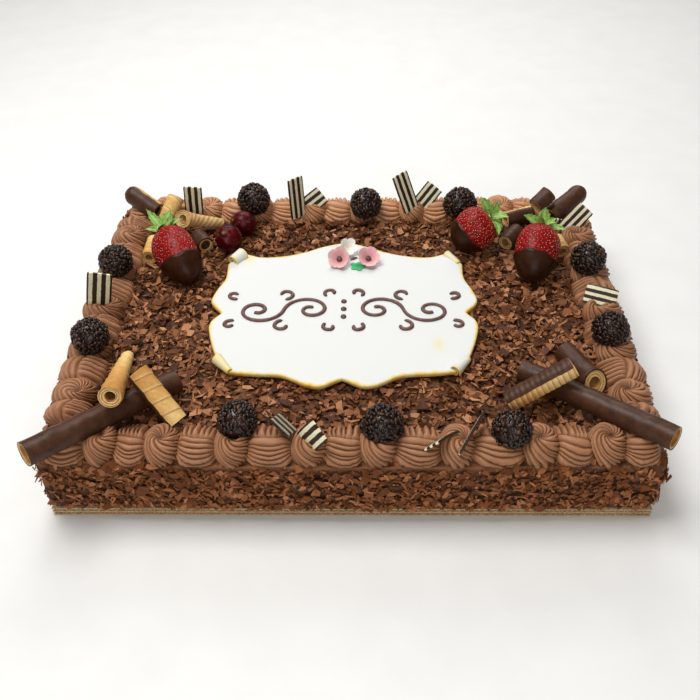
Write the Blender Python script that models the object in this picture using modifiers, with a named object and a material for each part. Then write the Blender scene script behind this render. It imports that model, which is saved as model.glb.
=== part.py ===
"""Chocolate truffle sheet cake on its cardboard board.

The origin is the centre of the board's underside, +X is right, +Y is the back and +Z is up.
Sizes and places are written in millimetres. A place on the cake gives its height above the
cake's flat top, and lift() turns it into a point in Blender's metres.
"""

import math
import random

import bmesh
import bpy
from mathutils import Matrix, Vector

MM = 0.001
GAP = 0.3
SEED = 7
FLAT_ANGLE = math.radians(1.5)

BOARD_SIZE = (400.0, 300.0)
BOARD_LAYERS = (1.0, 2.0, 1.0, 2.0, 1.0)
BOARD_THICKNESS = sum(BOARD_LAYERS)
FLUTE_INSET = 1.5

CAKE_SIZE = (404.0, 304.0)
CAKE_TOP = 52.5
CAKE_BOW = 2.0
# The walls draw in this far over the lowest part of the cake.
FOOT_INSET = 3.0
FOOT_HEIGHT = 9.0
CORNER_RADIUS = 7.0
TOP_EDGE = 2.0

BORDER_CENTRE = 16.0
BORDER_HALF_WIDTH = 15.0
BORDER_CREST = 15.5
BORDER_RIDGES = 4
BORDER_RIDGE_DEPTH = 0.2
CURL_HALF_LENGTH = 11.5
# Where the cross curls of the border stand, along each side.
FRONT_CURLS = (-159, -120, -75, -26, 18, 68, 120, 163)
BACK_CURLS = (-163, -125, -82, -35, 8, 51, 92, 128, 166)
LEFT_CURLS = (-93, -47, -2, 44, 92)
RIGHT_CURLS = (-96, -50, -5, 43, 90)
SIDE_BORDER_END = 119.4

# Centre of each truffle and its radius.
TRUFFLES = {
    "truffle_01": ((-85.6, 130.3, 20), 14.0),
    "truffle_02": ((10.9, 123.0, 20), 13.4),
    "truffle_03": ((91.1, 122.0, 20), 14.0),
    "truffle_04": ((-185.5, 40.5, 20), 13.2),
    "truffle_05": ((-183.9, -49.9, 20), 13.4),
    "truffle_06": ((184.1, 42.4, 20), 13.5),
    "truffle_07": ((183.0, -42.5, 20), 12.9),
    "truffle_08": ((-71.6, -128.3, 17), 13.0),
    "truffle_09": ((20.9, -132.2, 17), 13.5),
    "truffle_10": ((101.9, -136.0, 17), 12.8),
}
SPRINKLES_EACH = 5
SPRINKLE_SIZE = (5.2, 2.4)

# A wafer roll runs from its open end that shows best to its other end, with its radius at each.
ROLL_WALL = 4.2
ROLL_WALL_SHARE = 0.55
ROLL_SIDES = 10
ROLLS = {
    "cigar_front_left": ((-197.0, -161.5, 22.0), (-118.6, -85.9, 11.0), 8.7, 8.7),
    "cigar_front_right": ((199.7, -148.0, 22.0), (118.1, -75.5, 10.5), 8.4, 8.4),
    "cigar_back_left": ((-196.4, 139.0, 24.0), (-169.9, 125.8, 11.0), 8.5, 8.5),
    "cigar_back_right": ((198.2, 137.0, 25.0), (168.3, 115.1, 12.0), 8.5, 8.5),
    "wafer_front_left_low": ((-148.2, -128.8, 39.0), (-158.4, -55.6, 7.0), 7.6, 4.2),
    "wafer_front_left_high": ((-137.3, -103.0, 36.0), (-111.4, -122.7, 10.0), 7.8, 7.2),
    "wafer_front_right_high": ((104.6, -104.4, 9.6), (144.4, -97.9, 35.6), 7.6, 7.6),
    "wafer_front_right_low": ((165.5, -86.5, 9.0), (150.3, -52.8, 8.5), 8.0, 8.0),
    "wafer_back_left_high": ((-159.3, 110.1, 11.5), (-151.8, 127.5, 23.5), 7.4, 7.4),
    "wafer_back_left_mid": ((-142.4, 100.0, 20.0), (-112.2, 114.3, 6.5), 6.9, 4.2),
    "wafer_back_left_dark": ((-121.5, 79.0, 8.0), (-130.0, 92.0, 8.0), 7.2, 7.2),
    "wafer_back_left_side": ((-165.6, 62.6, 7.2), (-165.4, 86.8, 7.2), 6.5, 6.5),
    "wafer_back_right_low": ((129.7, 115.3, 8.0), (153.3, 125.3, 8.0), 7.4, 7.4),
    "wafer_back_right_high": ((154.0, 113.5, 23.0), (165.0, 121.5, 30.0), 7.4, 7.4),
    "wafer_back_right_dark": ((125.6, 81.8, 7.6), (137.9, 99.3, 7.6), 7.2, 7.2),
    "wafer_back_right_side": ((171.2, 69.5, 7.2), (168.4, 86.6, 7.2), 6.5, 6.5),
}

# A striped chocolate plate runs from the middle of its lower end to the middle of its upper
# end, with the way its face looks, its width, and how far its middle bends out of flat.
PLATE_THICKNESS = 1.8
PLATES = {
    "striped_plate_01": ((-137.0, 123.5, 9), (-135.2, 122.5, 37), (0.0, -1.0, 0.1), 15.5, 0.0),
    "striped_plate_02": ((-47.2, 124.0, 6), (-48.6, 124.5, 44), (0.6, -0.8, 0.0), 14.5, 0.0),
    "striped_plate_03": ((-44.0, 131.0, 9), (-26.4, 133.5, 23), (-0.3, -1.0, 0.1), 16.0, 0.0),
    "striped_plate_04": ((50.6, 126.5, 11), (39.0, 128.5, 45), (0.5, -0.85, 0.0), 14.5, 0.0),
    "striped_plate_05": ((56.5, 134.5, 9), (70.5, 137.5, 28), (-0.3, -1.0, 0.1), 15.5, 0.0),
    "striped_plate_06": ((176.0, 98.5, 7), (192.5, 101.0, 29), (-0.4, -1.0, 0.2), 15.5, 0.0),
    "striped_plate_07": ((172.0, 104.5, 5), (175.0, 104.5, 15.5), (0.2, -1.0, 0.1), 11.0, 0.0),
    "striped_plate_08": ((175.5, 5.9, 15), (197.0, -3.6, 15), (-0.32, -0.68, 0.66), 14.5, 0.8),
    "striped_plate_09": ((-190.5, -4.0, 11), (-183.5, -4.0, 41), (0.1, -1.0, 0.0), 18.0, 0.0),
    "striped_plate_10": ((-36.0, -137.7, 15), (-47.5, -129.4, 21.5), (0.5, 0.24, 0.83), 14.5, 0.0),
    "striped_plate_11": ((-28.5, -140.5, 8), (-18.2, -144.6, 26), (-0.63, -0.75, 0.18), 16.5, 1.6),
    "striped_plate_12": ((64.7, -132.9, 8.0), (50.6, -149.5, 16.1), (-0.48, 0.68, 0.55), 15.0, 0.6),
    "striped_plate_13": ((67.5, -151.0, 9), (84.5, -126.5, 22), (-0.8, 0.45, 0.3), 14.0, 0.0),
}

# A strawberry runs from the middle of its leaves to its dipped tip.
DIP_SHARE = 0.52
DIP_THICKNESS = 0.7
STRAWBERRIES = {
    "strawberry_left": ((-151.5, 71.5, 26.0), (-124.2, 28.0, 9.5), 34.4),
    "strawberry_middle": ((111.8, 87.2, 28.5), (82.8, 78.0, 9.0), 35.4),
    "strawberry_right": ((151.0, 72.0, 27.7), (137.9, 26.8, 11.0), 35.2),
}
CALYX_LEAVES = 6
LEAF_LENGTH = 12.0
LEAF_THICKNESS = 0.9

GRAPES = {
    "grape_front": ((-102.2, 81.6, 12.9), (11.0, 11.6, 12.4)),
    "grape_back": ((-92.5, 104.6, 12.0), (11.2, 11.0, 11.2)),
}

PLAQUE_CENTRE = (-6.0, -1.0)
# Half the room round the plaque that stays free of flakes.
PLAQUE_ROOM = (106.0, 92.0)
PLAQUE_REST = 3.6
PLAQUE_THICKNESS = 3.4
# Right half of the plaque's outline, from the top centre round to the bottom centre.
# A point marked True is a corner, and the curve runs round through the others.
PLAQUE_OUTLINE = (
    (0, 84, False),
    (18, 79, False),
    (33, 71.5, False),
    (50, 66, False),
    (68, 64.5, False),
    (83, 69.5, True),
    (94, 54, True),
    (94, 36, False),
    (100, 18, False),
    (101, 6, False),
    (92, -6.5, True),
    (99, -18, False),
    (97, -34, False),
    (89, -59, True),
    (79, -72, True),
    (62, -73.5, False),
    (42, -75, False),
    (18, -86, False),
    (0, -78, True),
)
CURLED_CORNERS = ((-87, 61, 145), (87, 61, 35), (-83, -64.5, 38), (83, -64.5, 142))
CURL_SIZE = (4.6, 2.6, 17.0)

LINE_RADIUS = 1.5
LINE_SINK = 0.15
LINE_SQUASH = 0.85
# Right half of the piped ornament: centre, outer radius, start angle, turns, inner radius.
SCROLLS = (
    ((25, -4), 20, 0, 1.35, 3.5),
    ((65, -4), 20, 180, 1.35, 3.5),
    ((45, 15), 8, -90, -0.8, 2.5),
    ((45, -23), 8, 90, -0.8, 2.5),
    ((10, 17), 6, -60, 0.8, 2.0),
    ((10, -24), 6, 60, -0.8, 2.0),
    ((84, 14), 6, -120, 0.8, 2.0),
    ((84, -21), 6, 120, -0.8, 2.0),
)
CENTRE_DOTS = ((0, 6), (0, -3), (0, -12))

# Place of each blossom's throat, the way it faces, and its radius.
BLOSSOMS = {
    "blossom_pink_left": ((-10.6, 53.6, 12.6), (-0.15, -0.62, 0.78), 8.8),
    "blossom_pink_right": ((13.0, 54.5, 12.6), (0.1, -0.5, 0.86), 8.8),
    "blossom_white": ((-3.5, 68.0, 13.4), (0.25, -0.55, 0.8), 6.4),
}
PETALS = 5
PETAL_THICKNESS = 1.0
SUGAR_LEAF_PLACE = (2.4, 49.6)
SUGAR_LEAF_SIZE = (12.4, 11.0)

FLAKE_SIZE = (6.0, 10.5)
FLAKE_THICKNESS = 1.5
TOP_FLAKES = 42
SIDE_FLAKES = 32


def clear_scene():
    for obj in list(bpy.data.objects):
        bpy.data.objects.remove(obj, do_unlink=True)


def lift(x, y, height=0.0):
    """A point in metres, from a place and its height above the cake's top."""
    return Vector((x, y, CAKE_TOP + height)) * MM


def make_collection(name):
    collection = bpy.data.collections.new(name)
    bpy.context.scene.collection.children.link(collection)
    return collection


def make_material(name, colour, roughness, metallic=0.0):
    material = bpy.data.materials.new(name)
    material.use_nodes = True
    shader = material.node_tree.nodes["Principled BSDF"]
    shader.inputs["Base Color"].default_value = (*colour, 1.0)
    shader.inputs["Roughness"].default_value = roughness
    shader.inputs["Metallic"].default_value = metallic
    return material


def make_object(name, bm, material, collection, matrix=None):
    """A new object from a bmesh, with its normals facing out."""
    bmesh.ops.recalc_face_normals(bm, faces=bm.faces)
    mesh = bpy.data.meshes.new(name)
    bm.to_mesh(mesh)
    bm.free()
    if material:
        mesh.materials.append(material)
    obj = bpy.data.objects.new(name, mesh)
    if matrix:
        obj.matrix_world = matrix
    collection.objects.link(obj)
    return obj


def smooth(obj, angle=35.0):
    obj.data.shade_smooth()
    obj.data.set_sharp_from_angle(angle=math.radians(angle))


def frame_along(start, axis, face=Vector((0.0, 0.0, 1.0))):
    """A matrix at start whose Z follows axis and whose Y is as near to face as it can be."""
    z = axis.normalized()
    x = face.cross(z)
    if x.length < 1e-6:
        x = Vector((1.0, 0.0, 0.0))
    x.normalize()
    rotation = Matrix((x, z.cross(x), z)).transposed().to_4x4()
    return Matrix.Translation(start) @ rotation


def loft(bm, rings):
    """A closed skin through rings that all have the same number of points."""
    rows = [[bm.verts.new(point) for point in ring] for ring in rings]
    count = len(rows[0])
    for low, high in zip(rows, rows[1:]):
        for i in range(count):
            j = (i + 1) % count
            bm.faces.new((low[i], low[j], high[j], high[i]))
    bm.faces.new(rows[0][::-1])
    bm.faces.new(rows[-1])


def bake_modifiers(obj):
    """Replaces the object's mesh by what its modifiers make of it."""
    graph = bpy.context.evaluated_depsgraph_get()
    mesh = bpy.data.meshes.new_from_object(obj.evaluated_get(graph))
    obj.modifiers.clear()
    obj.data = mesh


def combine(obj, others, operation, solver="EXACT"):
    """One Boolean of the object with all the others, applied."""
    group = make_collection("operands")
    for other in others:
        for owner in list(other.users_collection):
            owner.objects.unlink(other)
        group.objects.link(other)
    boolean = obj.modifiers.new("combine", "BOOLEAN")
    boolean.operation = operation
    boolean.operand_type = "COLLECTION"
    boolean.collection = group
    boolean.solver = solver
    bake_modifiers(obj)
    for other in others:
        group.objects.unlink(other)
    bpy.data.collections.remove(group)


def fuse(obj, others, solver="EXACT"):
    """Joins the others to the object and removes them."""
    combine(obj, others, "UNION", solver)
    for other in others:
        bpy.data.objects.remove(other, do_unlink=True)
    keep_largest_body(obj)


def keep_largest_body(obj):
    """Drops loose scraps that a cut leaves."""
    bm = bmesh.new()
    bm.from_mesh(obj.data)
    left = set(bm.verts)
    bodies = []
    while left:
        stack = [left.pop()]
        body = set(stack)
        while stack:
            for edge in stack.pop().link_edges:
                for vert in edge.verts:
                    if vert in left:
                        left.discard(vert)
                        body.add(vert)
                        stack.append(vert)
        bodies.append(body)
    bodies.sort(key=len)
    scraps = [vert for body in bodies[:-1] for vert in body]
    bmesh.ops.delete(bm, geom=scraps, context="VERTS")
    bm.to_mesh(obj.data)
    bm.free()


def merge_flat_faces(obj):
    bm = bmesh.new()
    bm.from_mesh(obj.data)
    bmesh.ops.dissolve_limit(bm, angle_limit=FLAT_ANGLE, verts=bm.verts, edges=bm.edges)
    bm.to_mesh(obj.data)
    bm.free()


def curve_to_mesh(obj, name, material, collection):
    """The mesh of a filled or bevelled curve, with its caps welded, as a new object."""
    graph = bpy.context.evaluated_depsgraph_get()
    mesh = bpy.data.meshes.new_from_object(obj.evaluated_get(graph))
    bm = bmesh.new()
    bm.from_mesh(mesh)
    bmesh.ops.remove_doubles(bm, verts=bm.verts, dist=0.00001)
    solid = make_object(name, bm, material, collection, obj.matrix_world.copy())
    bpy.data.meshes.remove(mesh)
    bpy.data.objects.remove(obj, do_unlink=True)
    return solid


def cake_outline(width, depth, height):
    """Points round the cake at one height: slightly bowed sides and rounded corners."""
    points = []
    half = Vector((width / 2, depth / 2))
    side_steps, corner_steps = 5, 3
    for quarter in range(4):
        angle = math.radians(90 * quarter)
        along = Vector((-math.sin(angle), math.cos(angle)))
        out = Vector((math.cos(angle), math.sin(angle)))
        reach = half.x if quarter % 2 == 0 else half.y
        span = (half.y if quarter % 2 == 0 else half.x) - CORNER_RADIUS
        for i in range(side_steps):
            share = -1 + 2 * i / side_steps
            bow = CAKE_BOW * (1 - share * share)
            points.append(out * (reach + bow) + along * (share * span))
        centre = out * (reach - CORNER_RADIUS) + along * span
        for i in range(corner_steps):
            turn = math.radians(90 * i / corner_steps)
            arm = out * math.cos(turn) + along * math.sin(turn)
            points.append(centre + arm * CORNER_RADIUS)
    return [Vector((p.x, p.y, height)) * MM for p in points]


def rectangle(width, depth, height):
    corners = ((-1, -1), (1, -1), (1, 1), (-1, 1))
    return [Vector((x * width / 2, y * depth / 2, height)) * MM for x, y in corners]


def make_board(material, collection):
    """Double-wall cardboard: three flat liners, with the fluted layers set back between them."""
    bm = bmesh.new()
    rings = []
    height = 0.0
    for index, thickness in enumerate(BOARD_LAYERS):
        inset = 2 * FLUTE_INSET * (index % 2)
        for level in (height, height + thickness):
            rings.append(rectangle(BOARD_SIZE[0] - inset, BOARD_SIZE[1] - inset, level))
        height += thickness
    loft(bm, rings)
    return make_object("cake_board", bm, material, collection)


def make_flake(matrix, rng, collection):
    """One broken shaving of chocolate: a thin five-sided plate."""
    bm = bmesh.new()
    radius = rng.uniform(*FLAKE_SIZE) / 2
    stretch = rng.uniform(0.55, 0.95)
    reaches = [radius * rng.uniform(0.75, 1.2) for _ in range(5)]
    half = FLAKE_THICKNESS / 2
    rings = []
    for height, scale in ((-half, 0.92), (half, 1.0)):
        ring = []
        for i, reach in enumerate(reaches):
            angle = math.tau * i / 5
            x = math.cos(angle) * reach * scale
            y = math.sin(angle) * reach * scale * stretch
            ring.append(Vector((x, y, height)) * MM)
        rings.append(ring)
    loft(bm, rings)
    return make_object("flake", bm, None, collection, matrix)


def footprints():
    """Where pieces stand on the cake's top, as segments with a radius."""
    spots = []
    for start, end, near, far in ROLLS.values():
        spots.append((Vector(start[:2]), Vector(end[:2]), max(near, far) + 2))
    for start, end, width in STRAWBERRIES.values():
        spots.append((Vector(start[:2]), Vector(end[:2]), width / 2 + 2))
    for centre, radii in GRAPES.values():
        spots.append((Vector(centre[:2]), Vector(centre[:2]), max(radii) + 2))
    for centre, radius in TRUFFLES.values():
        spots.append((Vector(centre[:2]), Vector(centre[:2]), radius + 2))
    return spots


def distance_to(point, start, end):
    run = end - start
    share = 0.0
    if run.length > 0:
        share = min(1.0, max(0.0, (point - start).dot(run) / run.length_squared))
    return (point - start - run * share).length


def is_bare(point, reach, spots):
    """Whether a flake of this reach fits at a point of the cake's top, clear of every piece."""
    inner_x = CAKE_SIZE[0] / 2 - 2 * BORDER_CENTRE - 3
    inner_y = CAKE_SIZE[1] / 2 - 2 * BORDER_CENTRE - 3
    if abs(point.x) > inner_x - reach or abs(point.y) > inner_y - reach:
        return False
    from_plaque = point - Vector(PLAQUE_CENTRE)
    within_x = abs(from_plaque.x) < PLAQUE_ROOM[0] + reach
    within_y = abs(from_plaque.y) < PLAQUE_ROOM[1] + reach
    if within_x and within_y:
        return False
    return all(distance_to(point, a, b) > radius + reach for a, b, radius in spots)


def top_flake_places(rng):
    """Scattered places on the bare top, each kept clear of the ones before it."""
    spots = footprints()
    reach = FLAKE_SIZE[1] / 2 + 1
    places = []
    for _ in range(60 * TOP_FLAKES):
        point = Vector((rng.uniform(-170, 170), rng.uniform(-120, 120)))
        if not is_bare(point, reach, spots):
            continue
        if any((point - other).length < 2 * reach for other in places):
            continue
        places.append(point)
        if len(places) == TOP_FLAKES:
            break
    return places


def side_flake_matrices(rng):
    """Places spread evenly round the four sides, each leaning a little off the wall."""
    matrices = []
    width, depth = CAKE_SIZE
    perimeter = 2 * (width + depth)
    for i in range(SIDE_FLAKES):
        travel = (i + 0.5) * perimeter / SIDE_FLAKES
        height = CAKE_TOP - (14 + 18 * ((i * 0.618) % 1.0))
        for quarter, length in enumerate((width, depth, width, depth)):
            if travel < length:
                break
            travel -= length
        along = travel - length / 2
        reach = length / 2 - CORNER_RADIUS - 8
        along = max(-reach, min(reach, along))
        angle = math.radians(90 * quarter - 90)
        out = Vector((math.cos(angle), math.sin(angle), 0.0))
        side = Vector((-math.sin(angle), math.cos(angle), 0.0))
        wall = (depth if quarter % 2 == 0 else width) / 2
        bow = CAKE_BOW * (1 - (2 * along / length) ** 2)
        place = out * (wall + bow + 0.35) + side * along + Vector((0, 0, height))
        lean = Vector((rng.uniform(-0.25, 0.25), rng.uniform(-0.25, 0.25), rng.uniform(-0.3, 0.3)))
        spin = Matrix.Rotation(rng.uniform(0, math.tau), 4, "Z")
        matrices.append(frame_along(place * MM, out + lean) @ spin)
    return matrices


def make_cake(material, collection):
    """The iced slab with its larger chocolate shavings fused on."""
    rng = random.Random(SEED)
    bm = bmesh.new()
    bottom = BOARD_THICKNESS + GAP
    width, depth = CAKE_SIZE
    inset = 2 * TOP_EDGE
    loft(
        bm,
        [
            cake_outline(width - 2 * FOOT_INSET, depth - 2 * FOOT_INSET, bottom),
            cake_outline(width, depth, bottom + FOOT_HEIGHT),
            cake_outline(width, depth, CAKE_TOP - TOP_EDGE),
            cake_outline(width - inset, depth - inset, CAKE_TOP),
        ],
    )
    cake = make_object("cake_body", bm, material, collection)
    flakes = []
    for place in top_flake_places(rng):
        lean = Vector((rng.uniform(-0.2, 0.2), rng.uniform(-0.2, 0.2), 1.0))
        spin = Matrix.Rotation(rng.uniform(0, math.tau), 4, "Z")
        matrix = frame_along(lift(place.x, place.y, 0.4), lean) @ spin
        flakes.append(make_flake(matrix, rng, collection))
    for matrix in side_flake_matrices(rng):
        flakes.append(make_flake(matrix, rng, collection))
    fuse(cake, flakes)
    merge_flat_faces(cake)
    return cake


def ridged_ring(centre, across, half_width, height):
    """Half of a star-tip rope in section, flat below, with its ridges above."""
    points = []
    for i in range(2 * BORDER_RIDGES + 1):
        angle = math.pi * i / (2 * BORDER_RIDGES)
        reach = 1.0 if i % 2 else 1.0 - BORDER_RIDGE_DEPTH
        if i in (0, 2 * BORDER_RIDGES):
            reach = 1.0
        side = across * (math.cos(angle) * half_width * reach)
        points.append(centre + side + Vector((0, 0, math.sin(angle) * height * reach)))
    return [point * MM for point in points]


def make_stroke(path, collection):
    """One piped stroke. The path holds x, y, half width and height, all in millimetres."""
    bm = bmesh.new()
    base = CAKE_TOP + GAP
    rings = []
    for i, (x, y, half_width, height) in enumerate(path):
        before = Vector(path[max(i - 1, 0)][:2])
        after = Vector(path[min(i + 1, len(path) - 1)][:2])
        run = (after - before).normalized()
        across = Vector((run.y, -run.x, 0.0))
        rings.append(ridged_ring(Vector((x, y, base)), across, half_width, height))
    loft(bm, rings)
    return make_object("stroke", bm, None, collection)


def border_point(side, along, out):
    """A point of the border: so far along a side, and so far out from its centre line."""
    width, depth = CAKE_SIZE
    length = width if side in ("front", "back") else depth
    bow = CAKE_BOW * (1 - (2 * along / length) ** 2)
    if side == "front":
        return along, -(depth / 2 - BORDER_CENTRE + out + bow)
    if side == "back":
        return along, depth / 2 - BORDER_CENTRE + out + bow
    if side == "left":
        return -(width / 2 - BORDER_CENTRE + out + bow), along
    return width / 2 - BORDER_CENTRE + out + bow, along


def cross_curl_path(side, along):
    """A curl laid from the inner edge, over the crest and down to the outer edge."""
    stations = (
        (4.0, -12.5, 0.6, 0.35),
        (-2.0, -4.5, 1.0, 1.0),
        (-2.5, 5.0, 1.0, 0.95),
        (0.0, 13.5, 0.7, 0.3),
    )
    path = []
    for shift, out, wide, high in stations:
        x, y = border_point(side, along + shift, out)
        path.append((x, y, wide * CURL_HALF_LENGTH, high * BORDER_CREST))
    return path


def long_shell_path(side, start, end):
    """A shell laid along the side between two curls, sagging outwards in the middle."""
    path = []
    for share in (0.0, 0.5, 1.0):
        swell = 1 - abs(2 * share - 1) ** 2
        x, y = border_point(side, start + (end - start) * share, 2.0 * swell - 1.0)
        half_width = BORDER_HALF_WIDTH * (0.8 + 0.16 * swell)
        path.append((x, y, half_width, BORDER_CREST * (0.68 + 0.16 * swell)))
    return path


def make_border(side, curls, low_end, high_end, material, collection):
    """One side's piping: shells along the side, with a curl over each joint."""
    strokes = []
    ends = [low_end, *curls, high_end]
    for start, end in zip(ends, ends[1:]):
        strokes.append(make_stroke(long_shell_path(side, start, end), collection))
    for along in curls:
        strokes.append(make_stroke(cross_curl_path(side, along), collection))
    first = strokes.pop(0)
    first.name = "piping_" + side
    first.data.materials.append(material)
    fuse(first, strokes)
    return first


def make_ball(radius):
    bm = bmesh.new()
    bmesh.ops.create_icosphere(bm, subdivisions=2, radius=radius * MM)
    return bm


def make_truffle(name, centre, radius, rng, material, collection):
    """A truffle rolled in chocolate sprinkles, the largest of them fused to it."""
    truffle = make_object(name, make_ball(radius), material, collection)
    truffle.location = lift(*centre)
    length, thickness = SPRINKLE_SIZE
    sprinkles = []
    spin = rng.uniform(0, math.tau)
    for i in range(SPRINKLES_EACH):
        height = 0.95 - 1.5 * (i + 0.5) / SPRINKLES_EACH
        angle = spin + i * 2.39996
        level = math.sqrt(1 - height * height)
        out = Vector((math.cos(angle) * level, math.sin(angle) * level, height))
        tangent = out.orthogonal().normalized()
        tangent.rotate(Matrix.Rotation(rng.uniform(0, math.pi), 3, out))
        bm = bmesh.new()
        bmesh.ops.create_cone(
            bm,
            cap_ends=True,
            segments=4,
            radius1=thickness / 2 * MM,
            radius2=thickness / 2 * MM,
            depth=length * MM,
        )
        place = lift(*centre) + out * (radius - 0.75) * MM
        matrix = frame_along(place, tangent, out)
        sprinkles.append(make_object("sprinkle", bm, None, collection, matrix))
    bpy.context.view_layer.update()
    fuse(truffle, sprinkles)
    merge_flat_faces(truffle)
    return truffle


def roll_matrix(start, end):
    low, high = lift(*start), lift(*end)
    return frame_along((low + high) / 2, high - low), (high - low).length


def make_roll(name, roll_data, material, collection):
    """A rolled wafer: a tube, open at both ends, that may narrow towards its far end."""
    start, end, near, far = roll_data
    matrix, length = roll_matrix(start, end)
    bm = bmesh.new()
    bmesh.ops.create_cone(
        bm,
        cap_ends=False,
        segments=ROLL_SIDES,
        radius1=near * MM,
        radius2=far * MM,
        depth=length,
    )
    roll = make_object(name, bm, material, collection, matrix)
    shell = roll.modifiers.new("wall", "SOLIDIFY")
    shell.thickness = min(ROLL_WALL, ROLL_WALL_SHARE * min(near, far)) * MM
    shell.offset = -1.0
    smooth(roll)
    return roll


def make_plate(name, plate, grow, material, collection):
    """A thin striped plate of chocolate, bent a little where its bend isn't zero."""
    start, end, face, width, bend = plate
    low, high = lift(*start), lift(*end)
    length = (high - low).length / MM
    matrix = frame_along((low + high) / 2, high - low, Vector(face))
    bm = bmesh.new()
    steps = 4 if bend else 1
    half_width = width / 2 + grow
    half_thickness = PLATE_THICKNESS / 2 + grow
    half_length = length / 2 + grow
    rings = []
    for i in range(steps + 1):
        share = -1 + 2 * i / steps
        bow = bend * (1 - share * share)
        z = share * half_length
        corners = (
            (-half_width, bow - half_thickness),
            (half_width, bow - half_thickness),
            (half_width, bow + half_thickness),
            (-half_width, bow + half_thickness),
        )
        rings.append([Vector((x, y, z)) * MM for x, y in corners])
    loft(bm, rings)
    return make_object(name, bm, material, collection, matrix)


def strawberry_radius(share):
    """Radius of a strawberry as a share of its widest, from the tip (0) to the leaves (1)."""
    widest = 0.66
    if share < widest:
        return (1 - (1 - share / widest) ** 2.1) ** 0.6
    return math.sqrt(max(0.0, 1 - ((share - widest) / 0.37) ** 2))


def make_strawberry(name, leaves, tip, width, material, collection):
    """The berry, whose lower half is a little thicker where it was dipped in chocolate."""
    start, end = lift(*leaves), lift(*tip)
    matrix = frame_along((start + end) / 2, start - end)
    length = (start - end).length
    bm = bmesh.new()
    bmesh.ops.create_uvsphere(bm, u_segments=12, v_segments=8, radius=1.0)
    for vert in bm.verts:
        share = (vert.co.z + 1) / 2
        level = math.hypot(vert.co.x, vert.co.y)
        coat = DIP_THICKNESS if share < DIP_SHARE else 0.0
        radius = (width / 2 * strawberry_radius(share) + coat) * MM
        if level > 1e-6:
            vert.co.x *= radius / level
            vert.co.y *= radius / level
        vert.co.z = (share - 0.5) * length
    berry = make_object(name, bm, material, collection, matrix)
    smooth(berry, 60)
    return berry


def make_calyx(name, leaves, tip, rng, material, collection):
    """Green leaves in a star over the berry's shoulder, thin and curled up at the tips."""
    start, end = lift(*leaves), lift(*tip)
    matrix = frame_along(start, start - end)
    bm = bmesh.new()
    hub_radius = 3.2
    hub = bm.verts.new(Vector((0, 0, 1.0)) * MM)
    rim = []
    for i in range(CALYX_LEAVES):
        angle = math.tau * (i - 0.5) / CALYX_LEAVES
        place = Vector((math.cos(angle) * hub_radius, math.sin(angle) * hub_radius, 1.0))
        rim.append(bm.verts.new(place * MM))
    for i in range(CALYX_LEAVES):
        low, high = rim[i], rim[(i + 1) % CALYX_LEAVES]
        bm.faces.new((hub, low, high))
        angle = math.tau * i / CALYX_LEAVES
        length = LEAF_LENGTH * rng.uniform(0.8, 1.1)
        rise = rng.uniform(1.5, 4.5)
        out = Vector((math.cos(angle), math.sin(angle), 0.0))
        side = Vector((-math.sin(angle), math.cos(angle), 0.0))
        middle = out * (0.6 * length) + Vector((0, 0, 1.0 + rise * 0.35))
        left = bm.verts.new((middle - side * 2.4) * MM)
        right = bm.verts.new((middle + side * 2.4) * MM)
        point = bm.verts.new((out * length + Vector((0, 0, 1.0 + rise))) * MM)
        bm.faces.new((low, left, right))
        bm.faces.new((low, right, high))
        bm.faces.new((left, point, right))
    calyx = make_object(name, bm, material, collection, matrix)
    skin = calyx.modifiers.new("thickness", "SOLIDIFY")
    skin.thickness = LEAF_THICKNESS * MM
    skin.offset = 1.0
    return calyx


def make_grape(name, centre, radii, material, collection):
    bm = bmesh.new()
    bmesh.ops.create_uvsphere(bm, u_segments=10, v_segments=7, radius=MM)
    bmesh.ops.scale(bm, vec=radii, verts=bm.verts)
    grape = make_object(name, bm, material, collection)
    grape.location = lift(*centre)
    smooth(grape, 60)
    return grape


def outline_spline(data, points):
    """A closed Bezier outline that is sharp at the points marked as corners."""
    spline = data.splines.new("BEZIER")
    spline.bezier_points.add(len(points) - 1)
    spline.use_cyclic_u = True
    for target, (x, y, corner) in zip(spline.bezier_points, points):
        target.co = Vector((x, y, 0.0)) * MM
        handle = "VECTOR" if corner else "AUTO"
        target.handle_left_type = handle
        target.handle_right_type = handle


def make_plaque(material, collection):
    """The white sugar plaque: a cartouche outline with four rolled corners."""
    mirrored = [(-x, y, corner) for x, y, corner in PLAQUE_OUTLINE[-2:0:-1]]
    data = bpy.data.curves.new("plaque outline", "CURVE")
    data.dimensions = "2D"
    data.fill_mode = "BOTH"
    data.resolution_u = 2
    data.extrude = PLAQUE_THICKNESS / 2 * MM
    outline_spline(data, [*PLAQUE_OUTLINE, *mirrored])
    guide = bpy.data.objects.new("plaque outline", data)
    middle = PLAQUE_REST + PLAQUE_THICKNESS / 2
    guide.location = lift(*PLAQUE_CENTRE, middle)
    collection.objects.link(guide)
    bpy.context.view_layer.update()
    plaque = curve_to_mesh(guide, "plaque", material, collection)
    curls = []
    wide, narrow, length = CURL_SIZE
    for x, y, turn in CURLED_CORNERS:
        bm = bmesh.new()
        bmesh.ops.create_cone(
            bm,
            cap_ends=True,
            segments=8,
            radius1=wide * MM,
            radius2=narrow * MM,
            depth=length * MM,
        )
        angle = math.radians(turn)
        axis = Vector((math.sin(angle), -math.cos(angle), 0.0))
        place = lift(PLAQUE_CENTRE[0] + x, PLAQUE_CENTRE[1] + y, middle + 1.6)
        curls.append(make_object("curl", bm, None, collection, frame_along(place, axis)))
    curls.extend(make_ornament(middle + PLAQUE_THICKNESS / 2, collection))
    bpy.context.view_layer.update()
    fuse(plaque, curls, "MANIFOLD")
    merge_flat_faces(plaque)
    return plaque


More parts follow.
